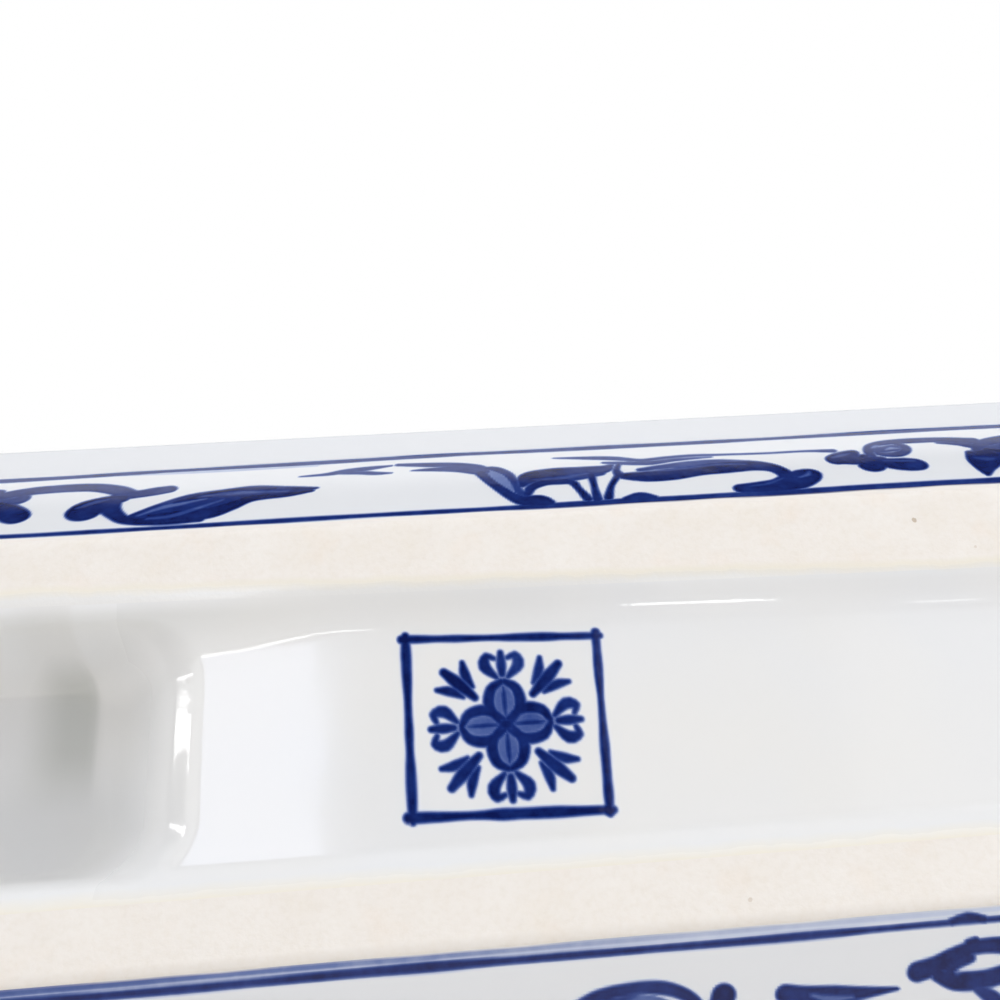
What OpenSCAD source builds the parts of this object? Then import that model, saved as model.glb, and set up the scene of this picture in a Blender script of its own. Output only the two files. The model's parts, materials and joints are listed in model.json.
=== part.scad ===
// Brush rest in glazed porcelain: a hollow five-peaked mountain on a flared plinth.
// Millimetres, +Z up. The origin is at the middle of the foot, on the surface it rests on.
// X runs along the length, and the front faces -Y.
// The object is built the way a potter lutes it: foot rails, leaning wall slabs,
// a base pan with two wells, a deck, and a mountain pressed in two halves.

/* [Foot] */
// Length of the unglazed foot, end to end
foot_l = 190; // [170:1:230]
// Width of the unglazed foot, front to back
foot_w = 38; // [34:0.5:60]
// Radius of the foot's corners in plan
foot_corner_r = 5; // [3.5:0.5:8]
// Width of the front rail at the left end of the opening
front_rail_w_left = 5.8; // [4:0.1:8]
// Width of the front rail at the right end of the opening
front_rail_w_right = 9.6; // [4:0.1:11]
// Width of the back rail
back_rail_w = 5.3; // [4:0.1:8]
// Width of the two end rails
end_rail_w = 8; // [5:0.5:12]
// Height of the bevel where the glaze stops at the foot
foot_bevel = 0.5; // [0.3:0.1:1]

/* [Plinth walls] */
// Thickness of the wall slabs
wall_t = 4.5; // [3:0.1:6]
// Lean of the wall at the foot, in degrees off the vertical
wall_lean_foot = 59; // [50:1:65]
// Lean of the wall at the top of the painted frieze, in degrees off the vertical
wall_lean_top = 52; // [45:1:60]
// Width of the painted frieze, measured up the slope
frieze_w = 14; // [10:0.5:18]
// Width of the plain ledge above the frieze, measured up the slope
ledge_w = 4.4; // [3:0.1:7]
// Lean of the plain ledge, in degrees off the vertical
ledge_lean = 66; // [60:1:75]
// Height of the upright rim above the ledge's edge
rim_h = 3.6; // [2.5:0.1:7]

/* [Deck] */
// Thickness of the deck slab
deck_t = 4; // [3:0.1:6]
// How far the deck's rounded shoulder runs in from the rim
shoulder_w = 6; // [4:0.5:8]

/* [Base pan] */
// Depth of the shallow tray between the rails
tray_depth = 1.4; // [1:0.1:2.5]
// Width of the tray's soft slope along the front rail
tray_slope_front = 4; // [2:0.5:5]
// Width of the tray's soft slope along the back rail
tray_slope_back = 3; // [2:0.5:5]
// Thickness of the pan
pan_t = 3; // [2:0.1:4]
// Length of the flat panel between the two wells
panel_l = 77; // [50:1:100]
// Length of the slope from the panel down into each well
well_slope_l = 9.8; // [5:0.1:14]
// Width of the slope at each well's front, back and outer sides
well_side_slope = 3.5; // [2:0.1:5]
// Width of the lip between a well and the foot rails
well_lip = 1.5; // [1:0.1:3]
// Corner radius of each well at its mouth
well_mouth_r = 9; // [4:0.5:10]
// Corner radius of each well at its floor
well_floor_r = 3; // [1:0.5:5]
// Diameter of the kiln vent in each well
vent_d = 5; // [3:0.5:8]

/* [Mountain] */
// Length of the mountain where it stands on the deck
mountain_l = 196; // [170:1:200]
// Width of the mountain where it stands on the deck
mountain_w = 44; // [34:1:50]
// Height of the centre peak above the foot
centre_peak_h = 114; // [90:1:130]
// Height of the two middle peaks above the foot
middle_peak_h = 92; // [75:1:110]
// Height of the two outer peaks above the foot
outer_peak_h = 66; // [50:1:80]
// Distance from the centre peak to a middle peak
middle_peak_x = 39; // [34:1:44]
// Distance from the centre peak to an outer peak
outer_peak_x = 76; // [68:1:82]
// Half width of the centre peak at half its height
centre_peak_w = 19.5; // [16:0.5:24]
// Half width of a middle peak at half its height
middle_peak_w = 17.5; // [14:0.5:22]
// Half width of an outer peak at half its height
outer_peak_w = 15; // [12:0.5:20]
// Wall thickness of the mountain
mountain_wall = 4.5; // [3:0.1:5.5]
// Share of the mountain's width lost between the deck and the centre peak
mountain_taper = 0.36; // [0.2:0.01:0.6]
// Share of the local width that the flutes between the peaks take at the ridge
flute_share = 0.16; // [0:0.01:0.3]

/* [Hidden] */

glaze_white = [0.93, 0.94, 0.96];
frieze_white = [0.86, 0.89, 0.96];
biscuit_cream = [0.93, 0.91, 0.88];

corner_fn = 96;
hull_fn = 32;
reach = 200;
slab = 0.01;

// Wall outline, as [out, up] from the outer edge of the foot
wall_steps = 12;
function lean_at(i) = wall_lean_foot
    + (wall_lean_top - wall_lean_foot) * (i + 0.5) / wall_steps;
function frieze_pt(i) = i == 0
    ? [0.15, foot_bevel]
    : frieze_pt(i - 1)
        + frieze_w / wall_steps * [sin(lean_at(i - 1)), cos(lean_at(i - 1))];
function inner_pt(i) = frieze_pt(i)
    + wall_t * [-cos(lean_at(i - 0.5)), sin(lean_at(i - 0.5))];
ledge_edge = frieze_pt(wall_steps) + ledge_w * [sin(ledge_lean), cos(ledge_lean)];
rim_out = ledge_edge[0];
deck_z = ledge_edge[1] + rim_h;
rail_h = inner_pt(0)[1];
bed_in = inner_pt(0)[0];
wall_outline = concat(
    [for (i = [0:wall_steps]) frieze_pt(i)],
    [ledge_edge, [rim_out, deck_z], [inner_pt(wall_steps)[0], deck_z]],
    [for (i = [wall_steps:-1:0]) inner_pt(i)]);

// Shoulder of the deck, as [out, up] from the outer edge of the foot
shoulder_steps = 8;
shoulder_outline = concat(
    [for (i = [0:shoulder_steps]) [
        rim_out - shoulder_w * (1 - cos(90 * i / shoulder_steps)),
        deck_z + deck_t * sin(90 * i / shoulder_steps)]],
    [[rim_out - shoulder_w - 1, deck_z + deck_t], [rim_out - shoulder_w - 1, deck_z]]);
deck_top = deck_z + deck_t;

// Opening between the rails
open_x = foot_l / 2 - end_rail_w;
front_in_left = -foot_w / 2 + front_rail_w_left;
front_in_right = -foot_w / 2 + front_rail_w_right;
back_in = foot_w / 2 - back_rail_w;
opening = [
    [-open_x, front_in_left], [open_x, front_in_right],
    [open_x, back_in], [-open_x, back_in]];

// Wells in the base pan: x from the middle, y from the narrower end of the opening
well_floor_z = deck_z - pan_t;
well_x0 = panel_l / 2;
well_x1 = open_x - well_lip;
well_y1 = back_in - well_lip;
vent_x = (well_x0 + well_slope_l + well_x1 - well_side_slope) / 2;

// Mountain
mountain_cols = 96;
mountain_rows = 10;
plan_power = 8;
top_power = 4;
blend_power = 4;
peak_power = 3;
flute_r = 7;
saddle_shift = 2.3;
centre_h = centre_peak_h - deck_top;
peaks = [
    [-outer_peak_x, outer_peak_h - deck_top, outer_peak_w],
    [-middle_peak_x, middle_peak_h - deck_top, middle_peak_w],
    [0, centre_h, centre_peak_w],
    [middle_peak_x, middle_peak_h - deck_top, middle_peak_w],
    [outer_peak_x, outer_peak_h - deck_top, outer_peak_w]];
saddle_xs = [for (i = [0:3]) (peaks[i][0] + peaks[i + 1][0]) / 2
    + saddle_shift * sign(peaks[i][1] - peaks[i + 1][1])];

function total(list, i = 0) = i == len(list) ? 0 : list[i] + total(list, i + 1);
function bump(x, peak) =
    peak[1] * pow(2, -pow(abs(x - peak[0]) / peak[2], peak_power));
// Height of the ridge above the deck
function ridge(x) =
    pow(total([for (p = peaks) pow(bump(x, p), blend_power)]), 1 / blend_power);
function ridge_slope(x) = (ridge(x + slab) - ridge(x - slab)) / (2 * slab);
// The ridge's point [x, height] of column i, moved square to the ridge by t into the clay
function ridge_pt(i, t) = let (s = 2 * i / mountain_cols - 1,
        x = mountain_l / 2 * s * (1.25 - 0.25 * s * s),
        g = ridge_slope(x), n = sqrt(1 + g * g))
    [x + t * g / n, ridge(x) - t / n];
function flute(x) = total([for (s = saddle_xs) exp(-pow((x - s) / flute_r, 2))]);
// Depth of the mountain behind its middle plane, at x and at the share v of the ridge
function depth(x, h, v, t) =
    (mountain_w / 2 - t)
    * sqrt(max(0, 1 - pow(abs(x) / (mountain_l / 2 - t), plan_power)))
    * (1 - mountain_taper * v * h / centre_h)
    * (1 - flute_share * flute(x) * v)
    * sqrt(max(0, 1 - pow(v, top_power)));
function row_v(j) = 1 - pow(1 - j / mountain_rows, 2);
function shell_pt(i, j, t) = let (p = ridge_pt(i, t), v = row_v(j))
    [p[0], j == mountain_rows || i == 0 || i == mountain_cols
        ? 0 : depth(p[0], p[1], v, t), deck_top + v * p[1]];

// A 2D rectangle with round corners, drawn out from the foot's outline by out
module foot_plan(out) {
    l = foot_l / 2 - foot_corner_r;
    w = foot_w / 2 - foot_corner_r;
    square([2 * l, 2 * (w + foot_corner_r + out)], center = true);
    square([2 * (l + foot_corner_r + out), 2 * w], center = true);
    for (x = [-l, l], y = [-w, w])
        translate([x, y]) circle(r = foot_corner_r + out, $fn = corner_fn);
}

// An outline carried straight along the front
module front_run(outline) {
    l = foot_l / 2 - foot_corner_r;
    translate([-l, -foot_w / 2, 0]) rotate([90, 0, 90])
        linear_extrude(2 * l) polygon([for (p = outline) [-p[0], p[1]]]);
}

// An outline carried round the two right-hand corners and the end between them
module right_run(outline) {
    l = foot_l / 2 - foot_corner_r;
    w = foot_w / 2 - foot_corner_r;
    translate([foot_l / 2, w, 0]) rotate([90, 0, 0])
        linear_extrude(2 * w) polygon(outline);
    for (side = [0, 1]) mirror([0, side, 0]) translate([l, w, 0])
        rotate_extrude(angle = 90, $fn = corner_fn)
            polygon([for (p = outline) p + [foot_corner_r, 0]]);
}

module full_run(outline) {
    for (side = [0, 1]) {
        mirror([0, side, 0]) front_run(outline);
        mirror([side, 0, 0]) right_run(outline);
    }
}

// The whole foot ring: a bevelled bar with a sloping bed for the walls
module foot_ring() {
    difference() {
        linear_extrude(rail_h) foot_plan(0.15);
        full_run([[0.15, foot_bevel], [bed_in, rail_h], [bed_in, rail_h + 1],
            [2, rail_h + 1], [2, foot_bevel]]);
        full_run([[-0.2, 0], [-0.2, -1], [2, -1], [2, foot_bevel], [0.15, foot_bevel]]);
        translate([0, 0, -1]) linear_extrude(rail_h + 2) polygon(opening);
    }
}

// The part of the plan that belongs to the front rail, up to the opening's front edge
module front_half_plan() {
    polygon([[-reach, -reach], [reach, -reach], [reach, front_in_right],
        opening[1], opening[0], [-reach, front_in_left]]);
}

module front_foot_rail() {
    color(biscuit_cream) intersection() {
        foot_ring();
        linear_extrude(rail_h) front_half_plan();
    }
}

module back_foot_rail() {
    color(biscuit_cream) intersection() {
        foot_ring();
        translate([-reach, back_in, 0]) cube([2 * reach, reach, rail_h]);
    }
}

module end_foot_rail(side) {
    color(biscuit_cream) difference() {
        foot_ring();
        translate([0, 0, -1]) linear_extrude(rail_h + 2) front_half_plan();
        translate([-reach, back_in, -1]) cube([2 * reach, reach, rail_h + 2]);
        translate([side > 0 ? -reach : 0, -reach, -1])
            cube([reach, 2 * reach, rail_h + 2]);
    }
}

module long_plinth_wall(side) {
    color(frieze_white) mirror([0, side, 0]) front_run(wall_outline);
}

module end_plinth_wall(side) {
    color(frieze_white) mirror([side, 0, 0]) right_run(wall_outline);
}

// One corner post of a well's funnel, at x and y, from the mouth down to the floor
module well_layer(x0, x1, y0, y1, r, z) {
    for (x = [x0 + r, x1 - r], y = [y0 + r, y1 - r])
        translate([x, y, z]) cylinder(r = r, h = slab, $fn = hull_fn);
}

// The funnel-shaped space of the right-hand well, drawn out by t
module well_space(y0, t) {
    hull() {
        well_layer(well_x0 - t, well_x1 + t, y0 - t, well_y1 + t,
            well_mouth_r + t, t > 0 ? rail_h - slab : tray_depth / 2);
        well_layer(well_x0 + well_slope_l - t, well_x1 - well_side_slope + t,
            y0 + well_side_slope - t, well_y1 - well_side_slope + t,
            well_floor_r + t, (t > 0 ? deck_z : well_floor_z) - slab);
    }
}

module tray_space() {
    hull() {
        translate([0, 0, -slab]) linear_extrude(slab) polygon(opening);
        translate([0, 0, tray_depth - slab]) linear_extrude(slab) polygon([
            opening[0] + [tray_slope_back, tray_slope_front],
            opening[1] + [-tray_slope_back, tray_slope_front],
            opening[2] - [tray_slope_back, tray_slope_back],
            opening[3] + [tray_slope_back, -tray_slope_back]]);
    }
}

module base_pan() {
    left_y0 = front_in_left + well_lip;
    right_y0 = front_in_right + well_lip;
    color(glaze_white) difference() {
        union() {
            linear_extrude(rail_h) polygon(opening);
            intersection() {
                well_space(right_y0, pan_t);
                cube([reach, reach, 2 * deck_z], center = true);
            }
            mirror([1, 0, 0]) well_space(left_y0, pan_t);
        }
        tray_space();
        well_space(right_y0, 0);
        mirror([1, 0, 0]) well_space(left_y0, 0);
        for (x = [-vent_x, vent_x]) translate([x, 0, 0]) cylinder(d = vent_d, h = reach);
    }
}

module plinth_deck() {
    inset = shoulder_w + 0.5;
    color(glaze_white) difference() {
        union() {
            full_run(shoulder_outline);
            translate([0, 0, deck_z]) linear_extrude(deck_t) foot_plan(rim_out - inset);
        }
        for (x = [-vent_x, vent_x]) translate([x, 0, 0]) cylinder(d = vent_d, h = reach);
    }
}

// One pressed half of the mountain, open at the parting plane and at the deck
module mountain_shell() {
    n = mountain_cols;
    m = mountain_rows;
    row = n + 1;
    layer = row * (m + 1);
    points = [for (t = [0, mountain_wall], j = [0:m], i = [0:n]) shell_pt(i, j, t)];
    outer = [for (j = [0:m - 1], i = [0:n - 1]) let (a = j * row + i)
        each [[a, a + row, a + 1], [a + 1, a + row, a + row + 1]]];
    inner = [for (f = outer) [f[0], f[2], f[1]] + layer * [1, 1, 1]];
    edge = concat(
        [for (i = [0:n]) i],
        [for (j = [1:m]) j * row + n],
        [for (i = [1:n]) m * row + n - i],
        [for (j = [1:m - 1]) (m - j) * row]);
    rim = [for (k = [0:len(edge) - 1]) let (a = edge[k], b = edge[(k + 1) % len(edge)])
        each [[a, b, a + layer], [b, b + layer, a + layer]]];
    polyhedron(points, concat(outer, inner, rim));
}

module back_mountain_shell() {
    color(glaze_white) mountain_shell();
}

module front_mountain_shell() {
    color(glaze_white) mirror([0, 1, 0]) mountain_shell();
}

front_foot_rail();
back_foot_rail();
end_foot_rail(-1);  // left_foot_rail
end_foot_rail(1);  // right_foot_rail
long_plinth_wall(0);  // front_plinth_wall
long_plinth_wall(1);  // back_plinth_wall
end_plinth_wall(1);  // left_plinth_wall
end_plinth_wall(0);  // right_plinth_wall
base_pan();
plinth_deck();
front_mountain_shell();
back_mountain_shell();
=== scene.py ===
"""Looks of the porcelain brush rest: glazed body, cobalt painting, biscuit foot, studio light."""
import json
import math

import bmesh
import bpy
import numpy as np
from mathutils import Matrix, Vector

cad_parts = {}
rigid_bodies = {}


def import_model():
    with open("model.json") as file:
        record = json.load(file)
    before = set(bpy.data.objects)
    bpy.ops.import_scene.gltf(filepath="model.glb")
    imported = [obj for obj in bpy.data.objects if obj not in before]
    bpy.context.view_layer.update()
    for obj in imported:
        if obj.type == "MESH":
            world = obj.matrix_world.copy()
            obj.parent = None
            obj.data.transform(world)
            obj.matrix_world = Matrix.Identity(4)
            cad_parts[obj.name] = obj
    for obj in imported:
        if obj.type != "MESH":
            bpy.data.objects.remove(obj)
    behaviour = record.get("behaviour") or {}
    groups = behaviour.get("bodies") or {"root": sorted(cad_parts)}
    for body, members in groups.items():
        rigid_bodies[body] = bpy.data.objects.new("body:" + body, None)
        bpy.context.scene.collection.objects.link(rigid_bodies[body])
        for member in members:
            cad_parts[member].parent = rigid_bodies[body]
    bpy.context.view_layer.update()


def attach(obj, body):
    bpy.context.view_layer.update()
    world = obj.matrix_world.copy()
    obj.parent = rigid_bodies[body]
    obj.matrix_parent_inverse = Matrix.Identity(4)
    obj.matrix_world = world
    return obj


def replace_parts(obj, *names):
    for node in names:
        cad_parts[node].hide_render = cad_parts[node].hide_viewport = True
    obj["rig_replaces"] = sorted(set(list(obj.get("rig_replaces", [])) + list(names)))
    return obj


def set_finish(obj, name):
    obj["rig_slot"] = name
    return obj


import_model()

MM = 0.001

# Sizes of the solids in millimetres, the same values as in their own source
FOOT_L, FOOT_W, CORNER_R = 190.0, 38.0, 5.0
RAIL_LEFT, RAIL_RIGHT, RAIL_BACK, RAIL_END = 5.8, 9.6, 5.3, 8.0
FOOT_BEVEL, WALL_T = 0.5, 4.5
LEAN_FOOT, LEAN_TOP, LEAN_LEDGE = 59.0, 52.0, 66.0
FRIEZE_W, LEDGE_W, RIM_H = 14.0, 4.4, 3.6
DECK_T, SHOULDER_W = 4.0, 6.0
TRAY_DEPTH, TRAY_FRONT, TRAY_BACK, PAN_T = 1.4, 4.0, 3.0, 3.0
PANEL_L, WELL_SLOPE, WELL_SIDE, WELL_LIP, VENT_D = 77.0, 9.8, 3.5, 1.5, 5.0
MOUNTAIN_L, MOUNTAIN_W, MOUNTAIN_WALL = 196.0, 44.0, 4.5
PEAK_X = (0.0, 39.0, 76.0)
PEAK_TOP = (114.0, 92.0, 66.0)
PEAK_W = (19.5, 17.5, 15.0)
TAPER, FLUTE, FLUTE_R, SADDLE_SHIFT = 0.36, 0.16, 7.0, 2.3


# Curves and ramps

def smooth(u):
    """Soft step from 0 at u=0 to 1 at u=1."""
    u = np.clip(u, 0, 1)
    return u * u * (3 - 2 * u)


def ramp(u, start, end):
    """Straight slope from 0 to 1, rounded over the share start at its foot and end at its top."""
    k = np.linspace(0, 1, 400)
    rate = np.clip(k / start, 0, 1) * np.clip((1 - k) / end, 0, 1)
    rise = np.cumsum(rate)
    return np.interp(np.clip(u, 0, 1), k, rise / rise[-1])


def spline(points, step):
    """Catmull-Rom curve through rows of numbers, sampled about every step of its first two."""
    p = np.asarray(points, float)
    if len(p) < 3:
        n = max(2, int(np.hypot(*(p[-1] - p[0])[:2]) / step) + 1)
        return p[0] + np.linspace(0, 1, n)[:, None] * (p[-1] - p[0])
    p = np.vstack([2 * p[0] - p[1], p, 2 * p[-1] - p[-2]])
    out = []
    for a, b, c, d in zip(p, p[1:], p[2:], p[3:]):
        n = max(2, int(np.hypot(*(c - b)[:2]) / step) + 1)
        t = np.linspace(0, 1, n, endpoint=False)[:, None]
        out.append(0.5 * (2 * b + (c - a) * t + (2 * a - 5 * b + 4 * c - d) * t ** 2
                          + (3 * b - a - 3 * c + d) * t ** 3))
    return np.vstack(out + [p[-2:-1]])


def waver(x, size, length, seed):
    """Slow hand wobble along x: a sum of three sines."""
    r = np.random.default_rng(seed)
    return sum(size / (k + 1) * np.sin(x * (k + 1) * 2 * math.pi / length + r.uniform(0, 6))
               for k in range(3))


def distance(line):
    """Distance along a line from its first point, at each of its points."""
    return np.concatenate([[0], np.cumsum(np.hypot(*np.diff(line, axis=0).T))])


# Meshes

def sweep(outline, base, normal):
    """Points of an (out, up) outline carried along base points with outward normals."""
    plan = base[None] + outline[:, 0, None, None] * normal[None]
    up = np.broadcast_to(outline[:, 1, None, None], (len(outline), len(base), 1))
    return np.concatenate([plan, up], 2)


def end_caps(rows, cols):
    """The two end polygons of a closed outline with rows points, carried along cols points."""
    first = np.arange(rows) * cols
    return [first, first + cols - 1]


def grid_index(rows, cols, start=0):
    """Vertex numbers of a grid that is counted along the columns first."""
    return np.arange(rows * cols).reshape(rows, cols) + start


def grid_faces(rows, cols, closed=False, start=0):
    """Quads of such a grid. If closed, its last row also joins its first."""
    index = grid_index(rows, cols, start)
    if closed:
        index = np.vstack([index, index[:1]])
    a, b, c, d = index[:-1, :-1], index[1:, :-1], index[1:, 1:], index[:-1, 1:]
    return np.stack([a, b, c, d], -1).reshape(-1, 4)


def add_object(name, data):
    """New object, linked into the scene."""
    thing = bpy.data.objects.new(name, data)
    bpy.context.scene.collection.objects.link(thing)
    return thing


def make(name, points, quads, polygons=(), sharp=35):
    """Mesh object from millimetre points, shaded smooth up to an angle of sharp degrees."""
    mesh = bpy.data.meshes.new(name)
    mesh.from_pydata((np.asarray(points) * MM).tolist(), [],
                     quads.tolist() + [list(map(int, p)) for p in polygons])
    tool = bmesh.new()
    tool.from_mesh(mesh)
    bmesh.ops.recalc_face_normals(tool, faces=tool.faces)
    tool.to_mesh(mesh)
    tool.free()
    mesh.shade_smooth()
    mesh.set_sharp_from_angle(angle=math.radians(sharp))
    thing = add_object(name, mesh)
    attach(thing, "root")
    return thing


def store(thing, name, values):
    """Puts one number on each vertex, and 0 on the vertices past the end of values."""
    full = np.zeros(len(thing.data.vertices), np.float32)
    full[:values.size] = values.ravel()
    thing.data.attributes.new(name, "FLOAT", "POINT").data.foreach_set("value", full)


# Brush painting: ink is laid on a grid of vertices, stroke by stroke

def smear(values, reach):
    """Gaussian blur of a grid, reach cells wide, with a blank border."""
    weights = np.exp(-np.linspace(-2, 2, 2 * max(1, round(2 * reach)) + 1) ** 2)
    weights /= weights.sum()
    for axis in (0, 1):
        values = np.apply_along_axis(np.convolve, axis, values, weights, "same")
    return values


# Half the width of a stroke's soft edge
SOFT = 0.22


class Canvas:
    def __init__(self, across, up):
        self.across, self.up = across, up
        self.ink = np.zeros((len(up), len(across)))

    def strokes(self, strokes, place, lift=False, soft=SOFT):
        """Paints (tone, points) strokes, each moved by place."""
        for tone, points in strokes:
            self.stroke(points, tone, soft, lift, place)

    def stroke(self, points, tone, soft=SOFT, lift=False, place=None):
        """One brush stroke through (x, y, radius) points. lift takes ink away instead."""
        line = np.array(points, float)
        if place is not None:
            line = place(line)
        line = spline(line, 0.4)
        pad = line[:, 2].max() + 2 * soft + 0.2
        i0, i1 = np.searchsorted(self.across, [line[:, 0].min() - pad, line[:, 0].max() + pad])
        j0, j1 = np.searchsorted(self.up, [line[:, 1].min() - pad, line[:, 1].max() + pad])
        if i1 - i0 < 1 or j1 - j0 < 1:
            return
        x, y = np.meshgrid(self.across[i0:i1], self.up[j0:j1])
        gap = np.full(x.shape, 1e9)
        for (ax, ay, ar), (bx, by, br) in zip(line, line[1:]):
            dx, dy = bx - ax, by - ay
            near = np.clip(((x - ax) * dx + (y - ay) * dy) / (dx * dx + dy * dy + 1e-9), 0, 1)
            away = np.hypot(x - ax - near * dx, y - ay - near * dy) - ar - near * (br - ar)
            np.minimum(gap, away, out=gap)
        cover = tone * smooth((soft - gap) / (2 * soft))
        part = self.ink[j0:j1, i0:i1]
        if lift:
            part *= 1 - cover
        else:
            np.maximum(part, cover, out=part)

    def settle(self):
        """Ink pools along the rims of the painted shapes and bleeds a little past them."""
        step = self.up[1] - self.up[0]
        close, wide = smear(self.ink, 0.4 / step), smear(self.ink, 1.2 / step)
        pooled = self.ink * (0.94 + 0.45 * (self.ink - close))
        self.ink = np.clip(pooled + 0.07 * wide * (1 - self.ink), 0, 1)
        return self

    def at(self, x, y):
        """Ink at any points, 0 outside the sheet."""
        u = (x - self.across[0]) / (self.across[1] - self.across[0])
        v = (y - self.up[0]) / (self.up[1] - self.up[0])
        rows, cols = self.ink.shape
        inside = (u >= 0) & (v >= 0) & (u < cols - 1) & (v < rows - 1)
        u, v = np.clip(u, 0, cols - 1.001), np.clip(v, 0, rows - 1.001)
        i, j = u.astype(int), v.astype(int)
        a, b = u - i, v - j
        low = self.ink[j, i] * (1 - a) + self.ink[j, i + 1] * a
        high = self.ink[j + 1, i] * (1 - a) + self.ink[j + 1, i + 1] * a
        return np.where(inside, low * (1 - b) + high * b, 0)


# Wall outline, as (out, up) from the outer edge of the foot

# Its step, how far out it starts, and how many steps to each side a bend is rounded over
WALL_STEP, WALL_START, BEND_CELLS = 0.2, 0.15, 2


def wall_profile():
    """Rows (t, out, up), where t is the way up the slope."""
    step = WALL_STEP
    t = np.arange(0, FRIEZE_W + 1e-6, step)
    lean = np.radians(LEAN_FOOT + (LEAN_TOP - LEAN_FOOT) * (t[:-1] + step / 2) / FRIEZE_W)
    out = WALL_START + np.concatenate([[0], np.cumsum(np.sin(lean) * step)])
    up = FOOT_BEVEL + np.concatenate([[0], np.cumsum(np.cos(lean) * step)])
    k = np.arange(step, LEDGE_W + 1e-6, step)
    ledge = math.radians(LEAN_LEDGE)
    rim = np.arange(step, RIM_H + 1e-6, step)
    edge_out = out[-1] + LEDGE_W * math.sin(ledge)
    edge_up = up[-1] + LEDGE_W * math.cos(ledge)
    t = np.concatenate([t, FRIEZE_W + k, FRIEZE_W + LEDGE_W + rim])
    out = np.concatenate([out, out[-1] + k * math.sin(ledge), np.full(len(rim), edge_out)])
    up = np.concatenate([up, up[-1] + k * math.cos(ledge), edge_up + rim])
    return t, blur(out, BEND_CELLS), blur(up, BEND_CELLS)


def blur(values, reach):
    """Rounds the bends of an evenly stepped outline and leaves its ends where they are."""
    weights = np.exp(-np.linspace(-2, 2, 2 * reach + 1) ** 2)
    head = 2 * values[0] - values[reach:0:-1]
    tail = 2 * values[-1] - values[-2:-reach - 2:-1]
    return np.convolve(np.concatenate([head, values, tail]), weights / weights.sum(), "valid")


WALL_S, WALL_OUT, WALL_UP = wall_profile()
RIM_OUT, DECK_Z = WALL_OUT[-1], WALL_UP[-1]
DECK_TOP = DECK_Z + DECK_T
LEAN0 = math.radians(LEAN_FOOT)
RAIL_H = FOOT_BEVEL + WALL_T * math.sin(LEAN0)
INNER_POINTS = 6


def wall_loop():
    """The slab's whole outline: the glazed outside, then the hidden top, inside and foot."""
    down = np.linspace(1, 0, INNER_POINTS)
    lean = np.radians(LEAN_FOOT + (LEAN_TOP - LEAN_FOOT) * down)
    i = np.searchsorted(WALL_S, np.linspace(FRIEZE_W, 0, INNER_POINTS) - 1e-6)
    inner = np.c_[WALL_OUT[i] - WALL_T * np.cos(lean), WALL_UP[i] + WALL_T * np.sin(lean)]
    return np.vstack([np.c_[WALL_OUT, WALL_UP], [[inner[0][0], DECK_Z]], inner])


def straight_path():
    """Base points, outward normals and distance along, for the long front side."""
    half = FOOT_L / 2 - CORNER_R
    x = np.linspace(-half, half, 841)
    return np.c_[x, np.full_like(x, -FOOT_W / 2)], np.tile([0.0, -1.0], (len(x), 1)), x


def end_path():
    """The same round the right-hand end: corner, short side, corner."""
    half_l, half_w = FOOT_L / 2 - CORNER_R, FOOT_W / 2 - CORNER_R
    turn = np.linspace(0, math.pi / 2, 81)
    low = np.c_[np.sin(turn), -np.cos(turn)]
    y = np.linspace(-half_w, half_w, 113)[1:-1]
    side = np.tile([1.0, 0.0], (len(y), 1))
    high = np.c_[np.cos(turn), np.sin(turn)]
    base = np.vstack([low * CORNER_R + [half_l, -half_w],
                      np.c_[np.full_like(y, FOOT_L / 2), y],
                      high * CORNER_R + [half_l, half_w]])
    normal = np.vstack([low, side, high])
    middle = base + normal * RIM_OUT / 2
    along = distance(middle)
    return base, normal, along - along[-1] / 2


# Width over which the wiped glaze fades out
WIPED_EDGE = 0.3


def wall_piece(name, node, path, paint, bare, flip_x=1, flip_y=1):
    """One slab of the wall. The glaze was wiped off its lowest bare millimetres."""
    base, normal, along = path
    loop = wall_loop()
    size = len(loop), len(base)
    points = sweep(loop, base, normal) * [flip_x, flip_y, 1]
    piece = make(name, points.reshape(-1, 3), grid_faces(*size, closed=True), end_caps(*size))
    sheet = Canvas(along, WALL_S)
    paint(sheet)
    store(piece, "ink", sheet.settle().ink)
    wiped = bare + waver(along[None], 0.07, 23, 31) - WALL_S[:, None]
    store(piece, "bare", smooth(0.5 + wiped / WIPED_EDGE))
    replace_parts(piece, node)
    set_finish(piece, "painted_glaze")


# The leaf scroll between the two lines. Strokes are (tone, (x, y, radius) points) in millimetres

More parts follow.
